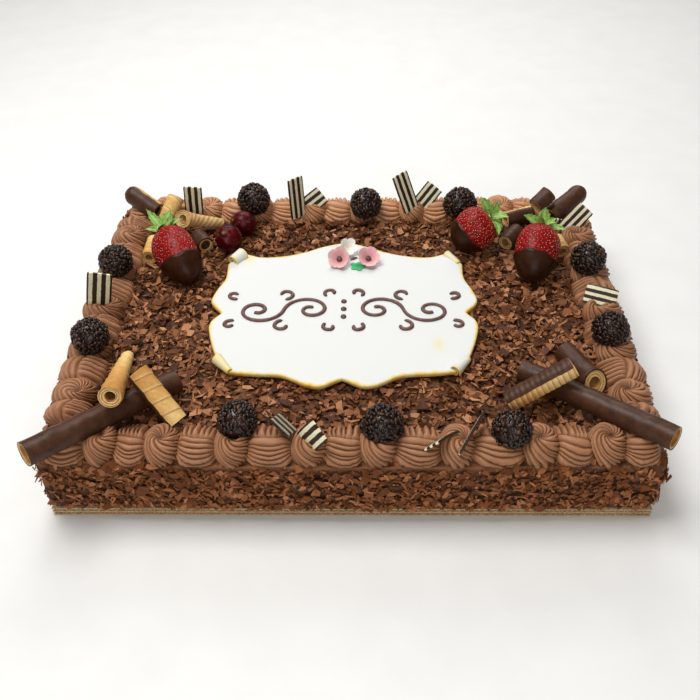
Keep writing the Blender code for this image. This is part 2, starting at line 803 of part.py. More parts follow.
def scroll_points(centre, outer, start, turns, inner, mirror):
    """A spiral that winds in from its outer end."""
    steps = max(7, round(9 * abs(turns)))
    points = []
    for i in range(steps + 1):
        share = i / steps
        angle = math.radians(start) + math.tau * turns * share
        radius = outer * (inner / outer) ** share
        x = centre[0] + radius * math.cos(angle)
        y = centre[1] + radius * math.sin(angle) * LINE_SQUASH
        points.append((x * mirror, y))
    return points


def make_line(points, height, collection):
    """A piped line of chocolate, its lower half sunk below this height."""
    data = bpy.data.curves.new("line", "CURVE")
    data.dimensions = "3D"
    data.bevel_depth = LINE_RADIUS * MM
    data.bevel_resolution = 0
    data.use_fill_caps = True
    spline = data.splines.new("POLY")
    spline.points.add(len(points) - 1)
    for target, (x, y) in zip(spline.points, points):
        place = lift(PLAQUE_CENTRE[0] + x, PLAQUE_CENTRE[1] + y, height)
        target.co = (*place, 1.0)
    guide = bpy.data.objects.new("line", data)
    collection.objects.link(guide)
    bpy.context.view_layer.update()
    return curve_to_mesh(guide, "line", None, collection)


def make_dot(x, y, height, collection):
    bm = bmesh.new()
    bmesh.ops.create_icosphere(bm, subdivisions=1, radius=1.5 * LINE_RADIUS * MM)
    place = lift(PLAQUE_CENTRE[0] + x, PLAQUE_CENTRE[1] + y, height)
    return make_object("dot", bm, None, collection, Matrix.Translation(place))


def make_ornament(surface, collection):
    """A mirrored scroll ornament piped in chocolate, with a dot in every spiral."""
    height = surface - LINE_SINK
    pieces = []
    for mirror in (1, -1):
        for centre, outer, start, turns, inner in SCROLLS:
            points = scroll_points(centre, outer, start, turns, inner, mirror)
            pieces.append(make_line(points, height, collection))
    for x, y in CENTRE_DOTS:
        pieces.append(make_dot(x, y, height, collection))
    return pieces


def make_blossom(name, throat, facing, radius, material, collection):
    """A five-petalled sugar flower, cupped like a bowl."""
    matrix = frame_along(lift(*throat), Vector(facing), Vector((0, 1, 0)))
    bm = bmesh.new()
    count = 2 * PETALS
    levels = ((0.5, -0.1), (1.0, 0.3))
    bottom = bm.verts.new(Vector((0, 0, -0.22 * radius)) * MM)
    rows = []
    for reach, rise in levels:
        row = []
        for i in range(count):
            angle = math.tau * i / count
            notch = 0.86 if i % 2 == 0 and reach > 0.5 else 1.0
            flat = radius * reach * notch
            place = Vector((math.cos(angle) * flat, math.sin(angle) * flat, rise * radius))
            row.append(bm.verts.new(place * MM))
        rows.append(row)
    for i in range(count):
        j = (i + 1) % count
        bm.faces.new((bottom, rows[0][i], rows[0][j]))
        for low, high in zip(rows, rows[1:]):
            bm.faces.new((low[i], high[i], high[j], low[j]))
    blossom = make_object(name, bm, material, collection, matrix)
    skin = blossom.modifiers.new("thickness", "SOLIDIFY")
    skin.thickness = PETAL_THICKNESS * MM
    skin.offset = 0.0
    return blossom


def make_sugar_leaf(material, collection):
    """A small thin leaf lying on the plaque, its edge cut in lobes."""
    bm = bmesh.new()
    surface = PLAQUE_REST + PLAQUE_THICKNESS
    length, width = SUGAR_LEAF_SIZE
    centre = bm.verts.new(Vector((0, 0, 0.9)) * MM)
    rim = []
    for i in range(10):
        angle = math.tau * i / 10
        lobe = 1.0 if i % 2 == 0 else 0.72
        x = math.cos(angle) * length / 2 * lobe
        y = math.sin(angle) * width / 2 * lobe
        rim.append(bm.verts.new(Vector((x, y, 0.5 * (i % 2))) * MM))
    for i in range(10):
        bm.faces.new((centre, rim[i], rim[(i + 1) % 10]))
    place = Matrix.Translation(lift(*SUGAR_LEAF_PLACE, surface + GAP))
    leaf = make_object("sugar_leaf", bm, material, collection, place)
    skin = leaf.modifiers.new("thickness", "SOLIDIFY")
    skin.thickness = 0.8 * MM
    skin.offset = 1.0
    return leaf


def ball_cutter(name, centre, radius, cutters):
    """A ball whose flat faces all clear a ball of this radius."""
    bm = bmesh.new()
    bmesh.ops.create_icosphere(bm, subdivisions=2, radius=(radius + 0.9) * 1.07 * MM)
    return make_object(name, bm, None, cutters, Matrix.Translation(lift(*centre)))


def roll_cutter(name, roll_data, cutters):
    start, end, near, far = roll_data
    matrix, length = roll_matrix(start, end)
    bm = bmesh.new()
    bmesh.ops.create_cone(
        bm,
        cap_ends=True,
        segments=ROLL_SIDES,
        radius1=(near + 1.1 * GAP) * MM,
        radius2=(far + 1.1 * GAP) * MM,
        depth=length + 2 * GAP * MM,
    )
    return make_object(name, bm, None, cutters, matrix)


def make_cutters(cutters):
    """What the border's icing makes room for: everything pressed into it."""
    made = []
    for name, (centre, radius) in TRUFFLES.items():
        made.append(ball_cutter("room " + name, centre, radius, cutters))
    for name, roll_data in ROLLS.items():
        made.append(roll_cutter("room " + name, roll_data, cutters))
    for name, plate in PLATES.items():
        made.append(make_plate("room " + name, plate, GAP, None, cutters))
    for name, (leaves, tip, width) in STRAWBERRIES.items():
        middle = [a * 0.66 + b * 0.34 for a, b in zip(leaves, tip)]
        made.append(ball_cutter("room " + name, middle, width / 2, cutters))
    for obj in made:
        obj.hide_render = True
        obj.display_type = "WIRE"
    return made


def box_of(obj):
    """The two outer corners of an object's box in world space."""
    corners = [obj.matrix_world @ Vector(corner) for corner in obj.bound_box]
    low = [min(corner[i] for corner in corners) for i in range(3)]
    high = [max(corner[i] for corner in corners) for i in range(3)]
    return low, high


def boxes_meet(first, second):
    return all(first[0][i] < second[1][i] and first[1][i] > second[0][i] for i in range(3))


def cut_border(border, cutters, collection):
    """Cuts the room out of one side's piping, with the cutters that reach it."""
    bpy.context.view_layer.update()
    room = box_of(border)
    reached = [cutter for cutter in cutters if boxes_meet(box_of(cutter), room)]
    combine(border, reached, "DIFFERENCE")
    for cutter in reached:
        collection.objects.link(cutter)
    keep_largest_body(border)
    merge_flat_faces(border)


def make_materials():
    return {
        "cardboard": make_material("cardboard", (0.36, 0.26, 0.15), 0.9),
        "cake": make_material("chocolate shavings", (0.10, 0.045, 0.028), 0.6),
        "icing": make_material("chocolate buttercream", (0.42, 0.21, 0.13), 0.55),
        "truffle": make_material("sprinkled truffle", (0.022, 0.012, 0.010), 0.4),
        "cigar": make_material("dark coated wafer", (0.055, 0.03, 0.024), 0.4),
        "wafer": make_material("golden wafer", (0.70, 0.42, 0.14), 0.65),
        "plate": make_material("striped chocolate", (0.45, 0.38, 0.24), 0.4),
        "strawberry": make_material("dipped strawberry", (0.32, 0.01, 0.015), 0.3),
        "calyx": make_material("strawberry leaves", (0.12, 0.25, 0.05), 0.5),
        "grape": make_material("red grape", (0.10, 0.008, 0.02), 0.3),
        "plaque": make_material("white sugar plaque", (0.90, 0.89, 0.84), 0.5),
        "pink": make_material("pink sugar", (0.80, 0.32, 0.38), 0.6),
        "white": make_material("white sugar", (0.85, 0.85, 0.80), 0.6),
        "green": make_material("green sugar", (0.12, 0.48, 0.22), 0.6),
    }


def main():
    clear_scene()
    rng = random.Random(SEED)
    materials = make_materials()
    parts = make_collection("chocolate truffle cake")
    cutter_group = make_collection("cutters")
    cutter_group.hide_render = True
    make_board(materials["cardboard"], parts)
    make_cake(materials["cake"], parts)
    full = CAKE_SIZE[0] / 2 - 3
    cutters = make_cutters(cutter_group)
    borders = (
        ("front", FRONT_CURLS, full),
        ("back", BACK_CURLS, full),
        ("left", LEFT_CURLS, SIDE_BORDER_END),
        ("right", RIGHT_CURLS, SIDE_BORDER_END),
    )
    for side, curls, reach in borders:
        border = make_border(side, curls, -reach, reach, materials["icing"], parts)
        cut_border(border, cutters, cutter_group)
        smooth(border)
    for name, (centre, radius) in TRUFFLES.items():
        make_truffle(name, centre, radius, rng, materials["truffle"], parts)
    for name, roll_data in ROLLS.items():
        material = materials["cigar" if name.startswith("cigar") else "wafer"]
        make_roll(name, roll_data, material, parts)
    for name, plate in PLATES.items():
        make_plate(name, plate, 0.0, materials["plate"], parts)
    for name, (leaves, tip, width) in STRAWBERRIES.items():
        make_strawberry(name, leaves, tip, width, materials["strawberry"], parts)
        calyx = name.replace("strawberry", "calyx")
        make_calyx(calyx, leaves, tip, rng, materials["calyx"], parts)
    for name, (centre, radii) in GRAPES.items():
        make_grape(name, centre, radii, materials["grape"], parts)
    make_plaque(materials["plaque"], parts)
    for name, (throat, facing, radius) in BLOSSOMS.items():
        colour = "pink" if "pink" in name else "white"
        make_blossom(name, throat, facing, radius, materials[colour], parts)
    make_sugar_leaf(materials["green"], parts)
    print("cake built:", len(parts.objects), "pieces")


main()
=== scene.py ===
"""The dressed chocolate truffle cake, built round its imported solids.

Places and sizes are in millimetres and turned into metres when a mesh is made. The origin is the
centre of the board's underside, +X is right, +Y is the back and +Z is up. A place on the cake
gives its height above the cake's flat top, as in the part's source.
"""

import itertools
import math

import bpy
import numpy as np
from mathutils import Matrix, Vector
from mathutils.geometry import delaunay_2d_cdt

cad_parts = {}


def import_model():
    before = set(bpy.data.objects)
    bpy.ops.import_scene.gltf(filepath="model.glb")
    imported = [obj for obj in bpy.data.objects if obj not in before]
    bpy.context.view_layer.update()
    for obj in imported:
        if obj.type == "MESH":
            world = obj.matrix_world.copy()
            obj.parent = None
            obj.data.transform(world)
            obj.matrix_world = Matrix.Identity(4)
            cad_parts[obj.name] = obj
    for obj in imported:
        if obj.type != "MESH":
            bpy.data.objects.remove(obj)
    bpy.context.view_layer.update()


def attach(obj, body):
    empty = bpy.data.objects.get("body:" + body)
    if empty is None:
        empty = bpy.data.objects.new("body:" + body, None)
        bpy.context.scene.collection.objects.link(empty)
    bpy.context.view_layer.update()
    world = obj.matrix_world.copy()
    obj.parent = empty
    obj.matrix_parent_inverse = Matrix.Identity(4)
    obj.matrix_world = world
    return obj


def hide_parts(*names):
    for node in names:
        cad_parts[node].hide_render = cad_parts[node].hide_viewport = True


MM = 0.001
UP = np.array((0.0, 0.0, 1.0))

BOARD_SIZE = (400.0, 300.0)
BOARD_THICKNESS = 7.0
CAKE_SIZE = (404.0, 304.0)
CAKE_TOP = 52.5
CAKE_BOTTOM = 7.3
CAKE_BOW = 2.0
CORNER_RADIUS = 7.0
FOOT_INSET = 3.0
FOOT_HEIGHT = 9.0

BORDER_CENTRE = 16.0
FRONT_CURLS = (-159, -120, -75, -26, 18, 68, 120, 163)
BACK_CURLS = (-163, -125, -82, -35, 8, 51, 92, 128, 166)
LEFT_CURLS = (-93, -47, -2, 44, 92)
RIGHT_CURLS = (-96, -50, -5, 43, 90)
SIDE_BORDER_END = 119.4
# How far a shell starts from the middle of the curl beside it.
SHELL_START = 6.5

# Each truffle's centre and radius.
TRUFFLES = (
    ((-85.6, 130.3, 20), 14.0),
    ((10.9, 123.0, 20), 13.4),
    ((91.1, 122.0, 20), 14.0),
    ((-185.5, 40.5, 20), 13.2),
    ((-183.9, -49.9, 20), 13.4),
    ((184.1, 42.4, 20), 13.5),
    ((183.0, -42.5, 20), 12.9),
    ((-71.6, -128.3, 17), 13.0),
    ((20.9, -132.2, 17), 13.5),
    ((101.9, -136.0, 17), 12.8),
)
# Where a truffle's coat is worn bare, by its number: the way the bare patch faces and its size.
BARE_PATCHES = {
    8: ((-0.1, -0.8, -0.05), 0.42),
    9: ((0.75, -0.6, 0.25), 0.25),
    10: ((-0.75, -0.7, 0.05), 0.38),
}

# A wafer roll: its two ends and its radius at each.
ROLLS = {
    "cigar_front_left": ((-197.0, -161.5, 22.0), (-118.6, -85.9, 11.0), 8.7, 8.7),
    "cigar_front_right": ((199.7, -148.0, 22.0), (118.1, -75.5, 10.5), 8.4, 8.4),
    "cigar_back_left": ((-196.4, 139.0, 24.0), (-169.9, 125.8, 11.0), 8.5, 8.5),
    "cigar_back_right": ((198.2, 137.0, 25.0), (168.3, 115.1, 12.0), 8.5, 8.5),
    "wafer_front_left_low": ((-148.2, -128.8, 39.0), (-158.4, -55.6, 7.0), 7.6, 4.2),
    "wafer_front_left_high": ((-137.3, -103.0, 36.0), (-111.4, -122.7, 10.0), 7.8, 7.2),
    "wafer_front_right_high": ((104.6, -104.4, 9.6), (144.4, -97.9, 35.6), 7.6, 7.6),
    "wafer_front_right_low": ((165.5, -86.5, 9.0), (150.3, -52.8, 8.5), 8.0, 8.0),
    "wafer_back_left_high": ((-159.3, 110.1, 11.5), (-151.8, 127.5, 23.5), 7.4, 7.4),
    "wafer_back_left_mid": ((-142.4, 100.0, 20.0), (-112.2, 114.3, 6.5), 6.9, 4.2),
    "wafer_back_left_dark": ((-121.5, 79.0, 8.0), (-130.0, 92.0, 8.0), 7.2, 7.2),
    "wafer_back_left_side": ((-165.6, 62.6, 7.2), (-165.4, 86.8, 7.2), 6.5, 6.5),
    "wafer_back_right_low": ((129.7, 115.3, 8.0), (153.3, 125.3, 8.0), 7.4, 7.4),
    "wafer_back_right_high": ((154.0, 113.5, 23.0), (165.0, 121.5, 30.0), 7.4, 7.4),
    "wafer_back_right_dark": ((125.6, 81.8, 7.6), (137.9, 99.3, 7.6), 7.2, 7.2),
    "wafer_back_right_side": ((171.2, 69.5, 7.2), (168.4, 86.6, 7.2), 6.5, 6.5),
}
# A roll's look: how far apart its seams are, how many wind side by side, how high they step, the
# side that its chocolate is on, and how far round that chocolate reaches, from -1 (all of it) to 1.
DARK_LOOK = (21.0, 1, 0.6, (0, 0, 1), -9.0)
GOLD_LOOK = (6.0, 1, 0.4, (0, 0, 1), 9.0)
ROLL_LOOKS = {
    "cigar_front_left": DARK_LOOK,
    "cigar_front_right": DARK_LOOK,
    "cigar_back_left": (19.0, 1, 0.2, (-0.45, -0.75, -0.5), -0.62),
    "cigar_back_right": DARK_LOOK,
    "wafer_front_left_low": (11.0, 1, 2.2, (0, 0, 1), 9.0),
    "wafer_front_left_high": (9.5, 1, 0.6, (-0.72, -0.46, -0.51), 0.56),
    "wafer_front_right_high": (3.8, 1, 0.55, (-0.5, 0.58, 0.65), 0.02),
    "wafer_front_right_low": (14.0, 1, 0.3, (-0.1, 0.35, 0.9), -0.9),
    "wafer_back_left_high": (11.0, 1, 0.5, (-0.9, 0.1, -0.3), 0.75),
    "wafer_back_left_mid": (4.3, 4, 0.45, (0, 0, 1), 9.0),
    "wafer_back_left_dark": (9.0, 1, 0.3, (-0.6, 0.2, 0.7), -0.3),
    "wafer_back_right_low": (3.0, 1, 0.45, (0.0, -0.6, -0.8), -0.8),
    "wafer_back_right_high": (14.0, 1, 0.3, (-0.6, -0.5, 0.6), -0.3),
    "wafer_back_right_dark": (14.0, 1, 0.25, (0, 0, 1), -9.0),
}
# Rolls whose first end opens out: how much wider it gets, and how far its rim leans up and over.
OPENED = {
    "wafer_front_right_low": (0.2, 0.5, 0.0),
    "wafer_back_left_mid": (0.15, 0.2, -0.5),
}
# Rolls whose first end is closed and round, and rolls whose ends are filled with chocolate.
ROUNDED = ("cigar_back_left", "cigar_back_right")
FILLED = ("wafer_back_left_dark",)

# A striped plate: the middles of its lower and upper ends, its facing, its width and its bend.
PLATE_THICKNESS = 1.8
PLATES = (
    ((-137.0, 123.5, 9), (-135.2, 122.5, 37), (0.0, -1.0, 0.1), 15.5, 0.0),
    ((-47.2, 124.0, 6), (-48.6, 124.5, 44), (0.6, -0.8, 0.0), 14.5, 0.0),
    ((-44.0, 131.0, 9), (-26.4, 133.5, 23), (-0.3, -1.0, 0.1), 16.0, 0.0),
    ((50.6, 126.5, 11), (39.0, 128.5, 45), (0.5, -0.85, 0.0), 14.5, 0.0),
    ((56.5, 134.5, 9), (70.5, 137.5, 28), (-0.3, -1.0, 0.1), 15.5, 0.0),
    ((176.0, 98.5, 7), (192.5, 101.0, 29), (-0.4, -1.0, 0.2), 15.5, 0.0),
    ((172.0, 104.5, 5), (175.0, 104.5, 15.5), (0.2, -1.0, 0.1), 11.0, 0.0),
    ((175.5, 5.9, 15), (197.0, -3.6, 15), (-0.32, -0.68, 0.66), 14.5, 0.8),
    ((-190.5, -4.0, 11), (-183.5, -4.0, 41), (0.1, -1.0, 0.0), 18.0, 0.0),
    ((-36.0, -137.7, 15), (-47.5, -129.4, 21.5), (0.5, 0.24, 0.83), 14.5, 0.0),
    ((-28.5, -140.5, 8), (-18.2, -144.6, 26), (-0.63, -0.75, 0.18), 16.5, 1.6),
    ((64.7, -132.9, 8.0), (50.6, -149.5, 16.1), (-0.48, 0.68, 0.55), 15.0, 0.6),
    ((67.5, -151.0, 9), (84.5, -126.5, 22), (-0.8, 0.45, 0.3), 14.0, 0.0),
)
# The numbers of the plates whose stripes are dull.
DULL_PLATES = (10,)

# A strawberry: the middle of its leaves, its tip and its width.
STRAWBERRIES = {
    "left": ((-151.5, 71.5, 26.0), (-124.2, 28.0, 9.5), 34.4),
    "middle": ((111.8, 87.2, 28.5), (82.8, 78.0, 9.0), 35.4),
    "right": ((151.0, 72.0, 27.7), (137.9, 26.8, 11.0), 35.2),
}
# The tip of each leaf on a strawberry, and half the leaf's width.
CALYX_LEAVES = {
    "left": (
        ((-167.1, 85.5, 39.0), 3.6), ((-146.0, 82.4, 41.0), 6.4),
        ((-136.0, 76.0, 36.0), 3.6), ((-153.5, 59.1, 36.2), 5.0),
        ((-168.0, 72.5, 28.0), 2.6), ((-141.5, 69.5, 39.5), 4.2),
    ),
    "middle": (
        ((103.3, 92.5, 45.0), 5.6), ((118.2, 90.5, 43.0), 2.8),
        ((125.3, 78.5, 35.0), 4.2), ((117.5, 70.5, 23.0), 4.6),
        ((121.0, 84.5, 22.5), 3.4), ((105.5, 75.0, 42.5), 4.0),
    ),
    "right": (
        ((136.0, 72.5, 40.5), 5.4), ((153.6, 78.5, 44.0), 5.6),
        ((160.0, 64.5, 38.5), 4.8), ((171.0, 68.7, 29.0), 3.8),
        ((146.5, 63.0, 45.0), 4.4), ((163.5, 78.0, 34.0), 3.6),
    ),
}

# The heights and reaches of the rings of a strawberry's stem.
STEM = ((-0.4, 3.4), (1.4, 3.0), (2.4, 1.5), (5.0, 1.0), (6.4, 1.1), (6.5, 0.2))

# A grape: its centre, its radii and the way that its scar faces.
GRAPES = {
    "grape_front": ((-102.2, 81.6, 12.9), (11.0, 11.6, 12.4), (-0.2, -0.5, 0.85)),
    "grape_back": ((-92.5, 104.6, 12.0), (11.2, 11.0, 11.2), (-0.75, -0.3, 0.6)),
}

PLAQUE_CENTRE = (-6.0, -1.0)
PLAQUE_REST = 3.6
PLAQUE_THICKNESS = 3.4
CORNER_LIFT = 1.6
# The plaque's mesh: how far apart its inner points are, how far in they start, and its rim's loops.
PLAQUE_SPACING = 3.2
PLAQUE_INNER = 3.8
RIM_LOOPS = (0.5, 1.2, 2.6)
# How far in from the edge its top is rounded, and how far down.
RIM_WIDTH = 1.2
RIM_DROP = 1.1
# A rolled corner's turns and how thick its sheet is.
CURL_TURNS = 1.55
CURL_THICKNESS = 0.75
# Right half of the plaque's outline, from the top centre round to the bottom centre, with 1 for
# a sharp corner.
PLAQUE_OUTLINE = (
    (0, 84, 0), (18, 79, 0), (33, 71.5, 0), (50, 66, 0), (68, 64.5, 0),
    (83, 69.5, 1), (94, 54, 1), (94, 36, 0), (100, 18, 0), (101, 6, 0),
    (92, -6.5, 1), (99, -18, 0), (97, -34, 0), (89, -59, 1), (79, -72, 1),
    (62, -73.5, 0), (42, -75, 0), (18, -86, 0), (0, -78, 1),
)
# Each rolled corner's place and the way that its roll points, in degrees.
CURLED_CORNERS = ((-87, 61, 145), (87, 61, 35), (-83, -64.5, 38), (83, -64.5, 142))
# Each rolled corner's radius at its start and end, its length, how toasted it is and how stained.
CURL_LOOKS = (
    (5.2, 6.4, 12.5, 0.5, 0.1),
    (4.4, 2.6, 15.0, 1.5, 0.4),
    (4.8, 2.7, 17.0, 1.1, 0.6),
    (4.8, 2.7, 17.0, 0.9, 0.12),
)
# Where the edge is toasted most: the place, how much and how far round it.
TOASTED_SPOTS = (
    (100, 8, 2.4, 17), (97, -34, 1.8, 15), (93, 52, 3.0, 15), (-92, 60, 0.7, 10),
    (-90, -60, 0.6, 12), (0, -78, 0.5, 14), (86, -70, 0.9, 12), (-98, 4, 0.8, 10),
)
# Two yellow stains, given as the toasted spots are, in places stretched by 1.6 and 0.8.
STAINS = ((110, -34, 0.55, 5.5), (-124, 50, 0.6, 6))

LINE_RADIUS = 1.5
LINE_FLATNESS = 0.85
LINE_RISE = 0.35
DOT_SIZE = 1.5
# A scroll: its middle, its outer reach, the angle that it starts at, its turns and its inner reach.
SCROLLS = (
    ((25, -4), 20, 0, 1.35, 3.5),
    ((65, -4), 20, 180, 1.35, 3.5),
    ((45, 15), 8, -90, -0.8, 2.5),
    ((45, -23), 8, 90, -0.8, 2.5),
    ((10, 17), 6, -60, 0.8, 2.0),
    ((10, -24), 6, 60, -0.8, 2.0),
    ((84, 14), 6, -120, 0.8, 2.0),
    ((84, -21), 6, 120, -0.8, 2.0),
)
CENTRE_DOTS = ((0, 6), (0, -3), (0, -12))

# A sugar blossom: its throat, the way that it faces and its radius.
BLOSSOMS = {
    "blossom_pink_left": ((-10.6, 53.6, 12.6), (-0.15, -0.62, 0.78), 8.8),
    "blossom_pink_right": ((13.0, 54.5, 12.6), (0.1, -0.5, 0.86), 8.8),
    "blossom_white": ((-3.5, 68.0, 13.4), (0.25, -0.55, 0.8), 7.5),
}
# The brown stroke that stands for the white blossom's centre.
STROKE_PLACE = (1.2, 60.2, 7.6)
SUGAR_LEAF_PLACE = (4.4, 49.8)
SUGAR_LEAF_SIZE = (12.4, 12.0)

# The camera that took the photograph, fitted to the cake's corners.
CAMERA_PLACE = (8.97, -501.1, 463.0)
CAMERA_ANGLES = (-1.233, 41.80, -0.867)
CAMERA_LENS = 43.714
CAMERA_SENSOR = 36.0

# A light: its place and its size in metres, and its power.
LIGHTS = {
    "key": ((-0.36, 0.04, 1.2), (0.7, 0.6), 13.2),
    "fill": ((0.08, -1.2, 0.75), (1.0, 0.7), 5.9),
    "back": ((0.05, 1.0, 0.9), (1.0, 0.5), 6.8),
}
LIGHT_AIM = (0, 0, 0.05)
WORLD_COLOUR = (1.0, 0.97, 0.93, 1.0)
WORLD_STRENGTH = 0.2
FLOOR_REACH = 4.0
FLOOR_LEVEL = -0.0005

# The icing's colours in its grooves, on its slopes and flanks, and on its crests. The dark grooves are
# painted shade and the pale crests painted light.
BUTTERCREAM = ((60, 34, 20), (118, 76, 48), (144, 99, 68), (168, 118, 84))
# A copy of the icing's colours painted lighter for the back's run, where the lamps leave its icing
# darker.
BUTTERCREAM_PAINTED_LIGHTER = ((98, 62, 40), (150, 102, 70), (174, 124, 88), (196, 144, 106))
# Sugar's colours in the throat and at the rim.
PINK_SUGAR = ((196, 116, 124), (228, 178, 178))
WHITE_SUGAR = ((214, 208, 190), (238, 236, 228))
GREEN_SUGAR = ((24, 120, 66), (66, 172, 112))

# The board: how thick a paper liner is, the waves of its two fluted sheets and how thick those are.
LINER = 0.8
FLUTES = (5.6, 6.2)
FLUTE_THICKNESS = 0.6

# How many shavings lie along the top edge, how much smaller the sides' shavings are, and the
# share of all shavings that is dark.
EDGE_SHAVINGS = 700
SIDE_SHAVING_SCALE = 0.82
DARK_SHARE = 0.16

# Icing: the steps from a curl's eye to its foot, how much nearer the viewer the front's eyes are,
# the steps up a shell's crown and the angle of a shell's crest.
SWIRL_STEPS = 38
FRONT_EYE_SHIFT = (1.2, 3.0)
CROWN_STEPS = 18
CREST = 1.55

# Half sizes on the top: where places for shavings are drawn, where they are kept, and the part
# under the plaque that stays bare.
TOP_REACH = (180.0, 130.0)
TOP_ROOM = (178, 128)
UNDER_PLAQUE = (84, 60)

# Sprinkles on a truffle: how deep its ball and they lie below its radius, and how far down they go.
SPRINKLES = 235
SPRINKLE_LENGTH = 3.5
SPRINKLE_RADIUS = 1.2
SPRINKLE_DEPTH = 0.85
BALL_DEPTH = 1.3
LOWEST_SPRINKLE = -0.72
# The turn from one place to the next that spreads places evenly over a sphere.
GOLDEN_ANGLE = 2.399963

# A roll's hole as a share of its radius, and how many layers its wall has.
CIGAR_WALL = (0.74, 1.3)
WAFER_WALL = (0.46, 2.6)

# A strawberry's seeds, and the pits that they lie in.
BERRY_SEED_ROWS = 18
BERRY_SEEDS_ROUND = 27
BERRY_SEED_SIZE = (0.36, 0.6, 0.36)
PIT_WIDTH = 0.95
PIT_DEPTH = 0.85

# Whole numbers that turn a cell's place into an even spread of values.
HASH_STEPS = (73856093, 19349663, 83492791)
HASH_SEED = 265443
HASH_MIX = 1274126177

# How finely pieces are built.
DETAIL = 1.0
# Places across one ridge of icing, closer together where the creases are.
RIDGE_STEPS = np.array((0.0, 0.06, 0.17, 0.33, 0.5, 0.67, 0.83, 0.94))
CREASE_STEPS = np.array((0.0, 0.09, 0.28, 0.52, 0.76, 0.92))


def unit(vector):
    vector = np.asarray(vector, float)
    return vector / np.linalg.norm(vector)


def basis(axis, face=UP):
    """Rows x, y and z of a frame whose z follows axis and whose y is as near face as it can be."""
    z = unit(axis)
    x = np.cross(face, z)
    if np.linalg.norm(x) < 1e-6:
        x = np.array((1.0, 0.0, 0.0))
    x = unit(x)
    return np.array((x, np.cross(z, x), z))


def on_top(place):
    """A point in world space from a place on the cake."""
    return np.array(place, float) + (0.0, 0.0, CAKE_TOP)


def ease(value):
    value = np.clip(value, 0.0, 1.0)
    return value * value * (3 - 2 * value)


def units(vectors):
    """Each of many vectors at a length of 1."""
    return vectors / np.linalg.norm(vectors, axis=-1)[..., None]


def bell(value, width):
    """A smooth peak of 1 where a value is 0."""
    return np.exp(-((value / width) ** 2))


def about_z(angle, reach, height):
    """Points at an angle and a reach about the z axis, and at a height."""
    return np.stack(np.broadcast_arrays(np.cos(angle) * reach, np.sin(angle) * reach, height), -1)


def flipped(faces):
    return [face[::-1] for face in faces]


def noise(points, scale, seed=0):
    """Smooth value noise from -1 to 1 at each point."""
    cells = np.asarray(points, float) / scale
    base = np.floor(cells).astype(np.int64)
    part = ease(cells - base)
    total = np.zeros(len(cells))
    for corner in itertools.product((0, 1), repeat=3):
        key = (base + corner) @ np.array(HASH_STEPS) + seed * HASH_SEED
        key = (key ^ (key >> 13)) * HASH_MIX
        key = (key ^ (key >> 16)) & 0xFFFF
        weight = np.prod(np.where(corner, part, 1 - part), axis=1)
        total += weight * (key / 32767.5 - 1)
    return total


def grid_faces(rows, columns, wrap=False, start=0):
    """Quads between the rows of a grid of points. With wrap, the last column meets the first."""
    i, j = np.indices((rows - 1, columns if wrap else columns - 1))
    k = (j + 1) % columns
    low, high = i * columns, (i + 1) * columns
    quads = np.stack((low + j, low + k, high + k, high + j), -1)
    return (quads.reshape(-1, 4) + start).tolist()


def tube_faces(rows, columns):
    """Faces of a closed tube: quads between its rings of points and a face over each end."""
    last = (rows - 1) * columns
    ends = [list(range(columns))[::-1], [last + i for i in range(columns)]]
    return grid_faces(rows, columns, wrap=True) + ends


def sheet_faces(rows, columns, wrap=False):
    """Faces of a thin sheet: a grid, the same grid below it, and the rim between them. With wrap,
    the grid is rings of points and its rim is the last ring."""
    count = rows * columns
    last = count - columns
    rim = list(range(last, count))
    if not wrap:
        rim = list(range(columns)) + [k * columns + columns - 1 for k in range(1, rows)]
        rim += [last + k for k in range(columns - 2, -1, -1)]
        rim += [k * columns for k in range(rows - 2, 0, -1)]
    faces = grid_faces(rows, columns, wrap) + flipped(grid_faces(rows, columns, wrap, count))
    return faces + [[b, a, a + count, b + count] for a, b in zip(rim, rim[1:] + rim[:1])]


def add_object(name, data):
    obj = bpy.data.objects.new(name, data)
    bpy.context.scene.collection.objects.link(obj)
    return obj


class Skin:
    """Points, faces and named values at the points, gathered until a piece is made of them."""

    def __init__(self):
        self.points = []
        self.faces = []
        self.values = {}
        self.count = 0

    def add(self, points, faces, **values):
        points = np.asarray(points, float).reshape(-1, 3)
        shift = self.count
        self.faces.extend([index + shift for index in face] for face in faces)
        self.points.append(points)
        for key, value in values.items():
            full = np.broadcast_to(np.asarray(value, float).reshape(-1), (len(points),))
            self.values.setdefault(key, []).append(full)
        self.count += len(points)

    def add_rings(self, points, rows, columns, **values):
        """Adds the skin over rings of points, from the lowest ring to the highest."""
        self.add(points, grid_faces(rows, columns, wrap=True), **values)

    def add_sheet(self, upper, lower, wrap=False, **values):
        """Adds a thin sheet of two grids of points. Each value is given over one grid."""
        shape = upper.shape[:2]
        full = {key: np.broadcast_to(value, shape) for key, value in values.items()}
        twice = {key: np.tile(value.reshape(-1), 2) for key, value in full.items()}
        points = np.concatenate((upper.reshape(-1, 3), lower.reshape(-1, 3)))
        self.add(points, sheet_faces(*shape, wrap), **twice)

    def piece(self, name, material, nodes=(), soft=True, angle=None):
        """Makes the piece, lets it ride on the root and stand for the nodes."""
        mesh = bpy.data.meshes.new(name)
        mesh.from_pydata((np.concatenate(self.points) * MM).tolist(), [], self.faces)
        for key, value in self.values.items():
            attribute = mesh.attributes.new(key, "FLOAT", "POINT")
            attribute.data.foreach_set("value", np.concatenate(value).astype(np.float32))
        if soft:
            mesh.shade_smooth()
            if angle:
                mesh.set_sharp_from_angle(angle=math.radians(angle))
        mesh.materials.append(material)
        obj = add_object(name, mesh)
        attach(obj, "root")
        if nodes:
            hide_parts(*nodes)


# Materials


def srgb(red, green, blue):
    """A colour read off the photograph, in the shader's linear values."""
    shares = np.array((red, green, blue)) / 255.0
    linear = np.where(shares > 0.04045, ((shares + 0.055) / 1.055) ** 2.4, shares / 12.92)
    return (*linear.tolist(), 1.0)


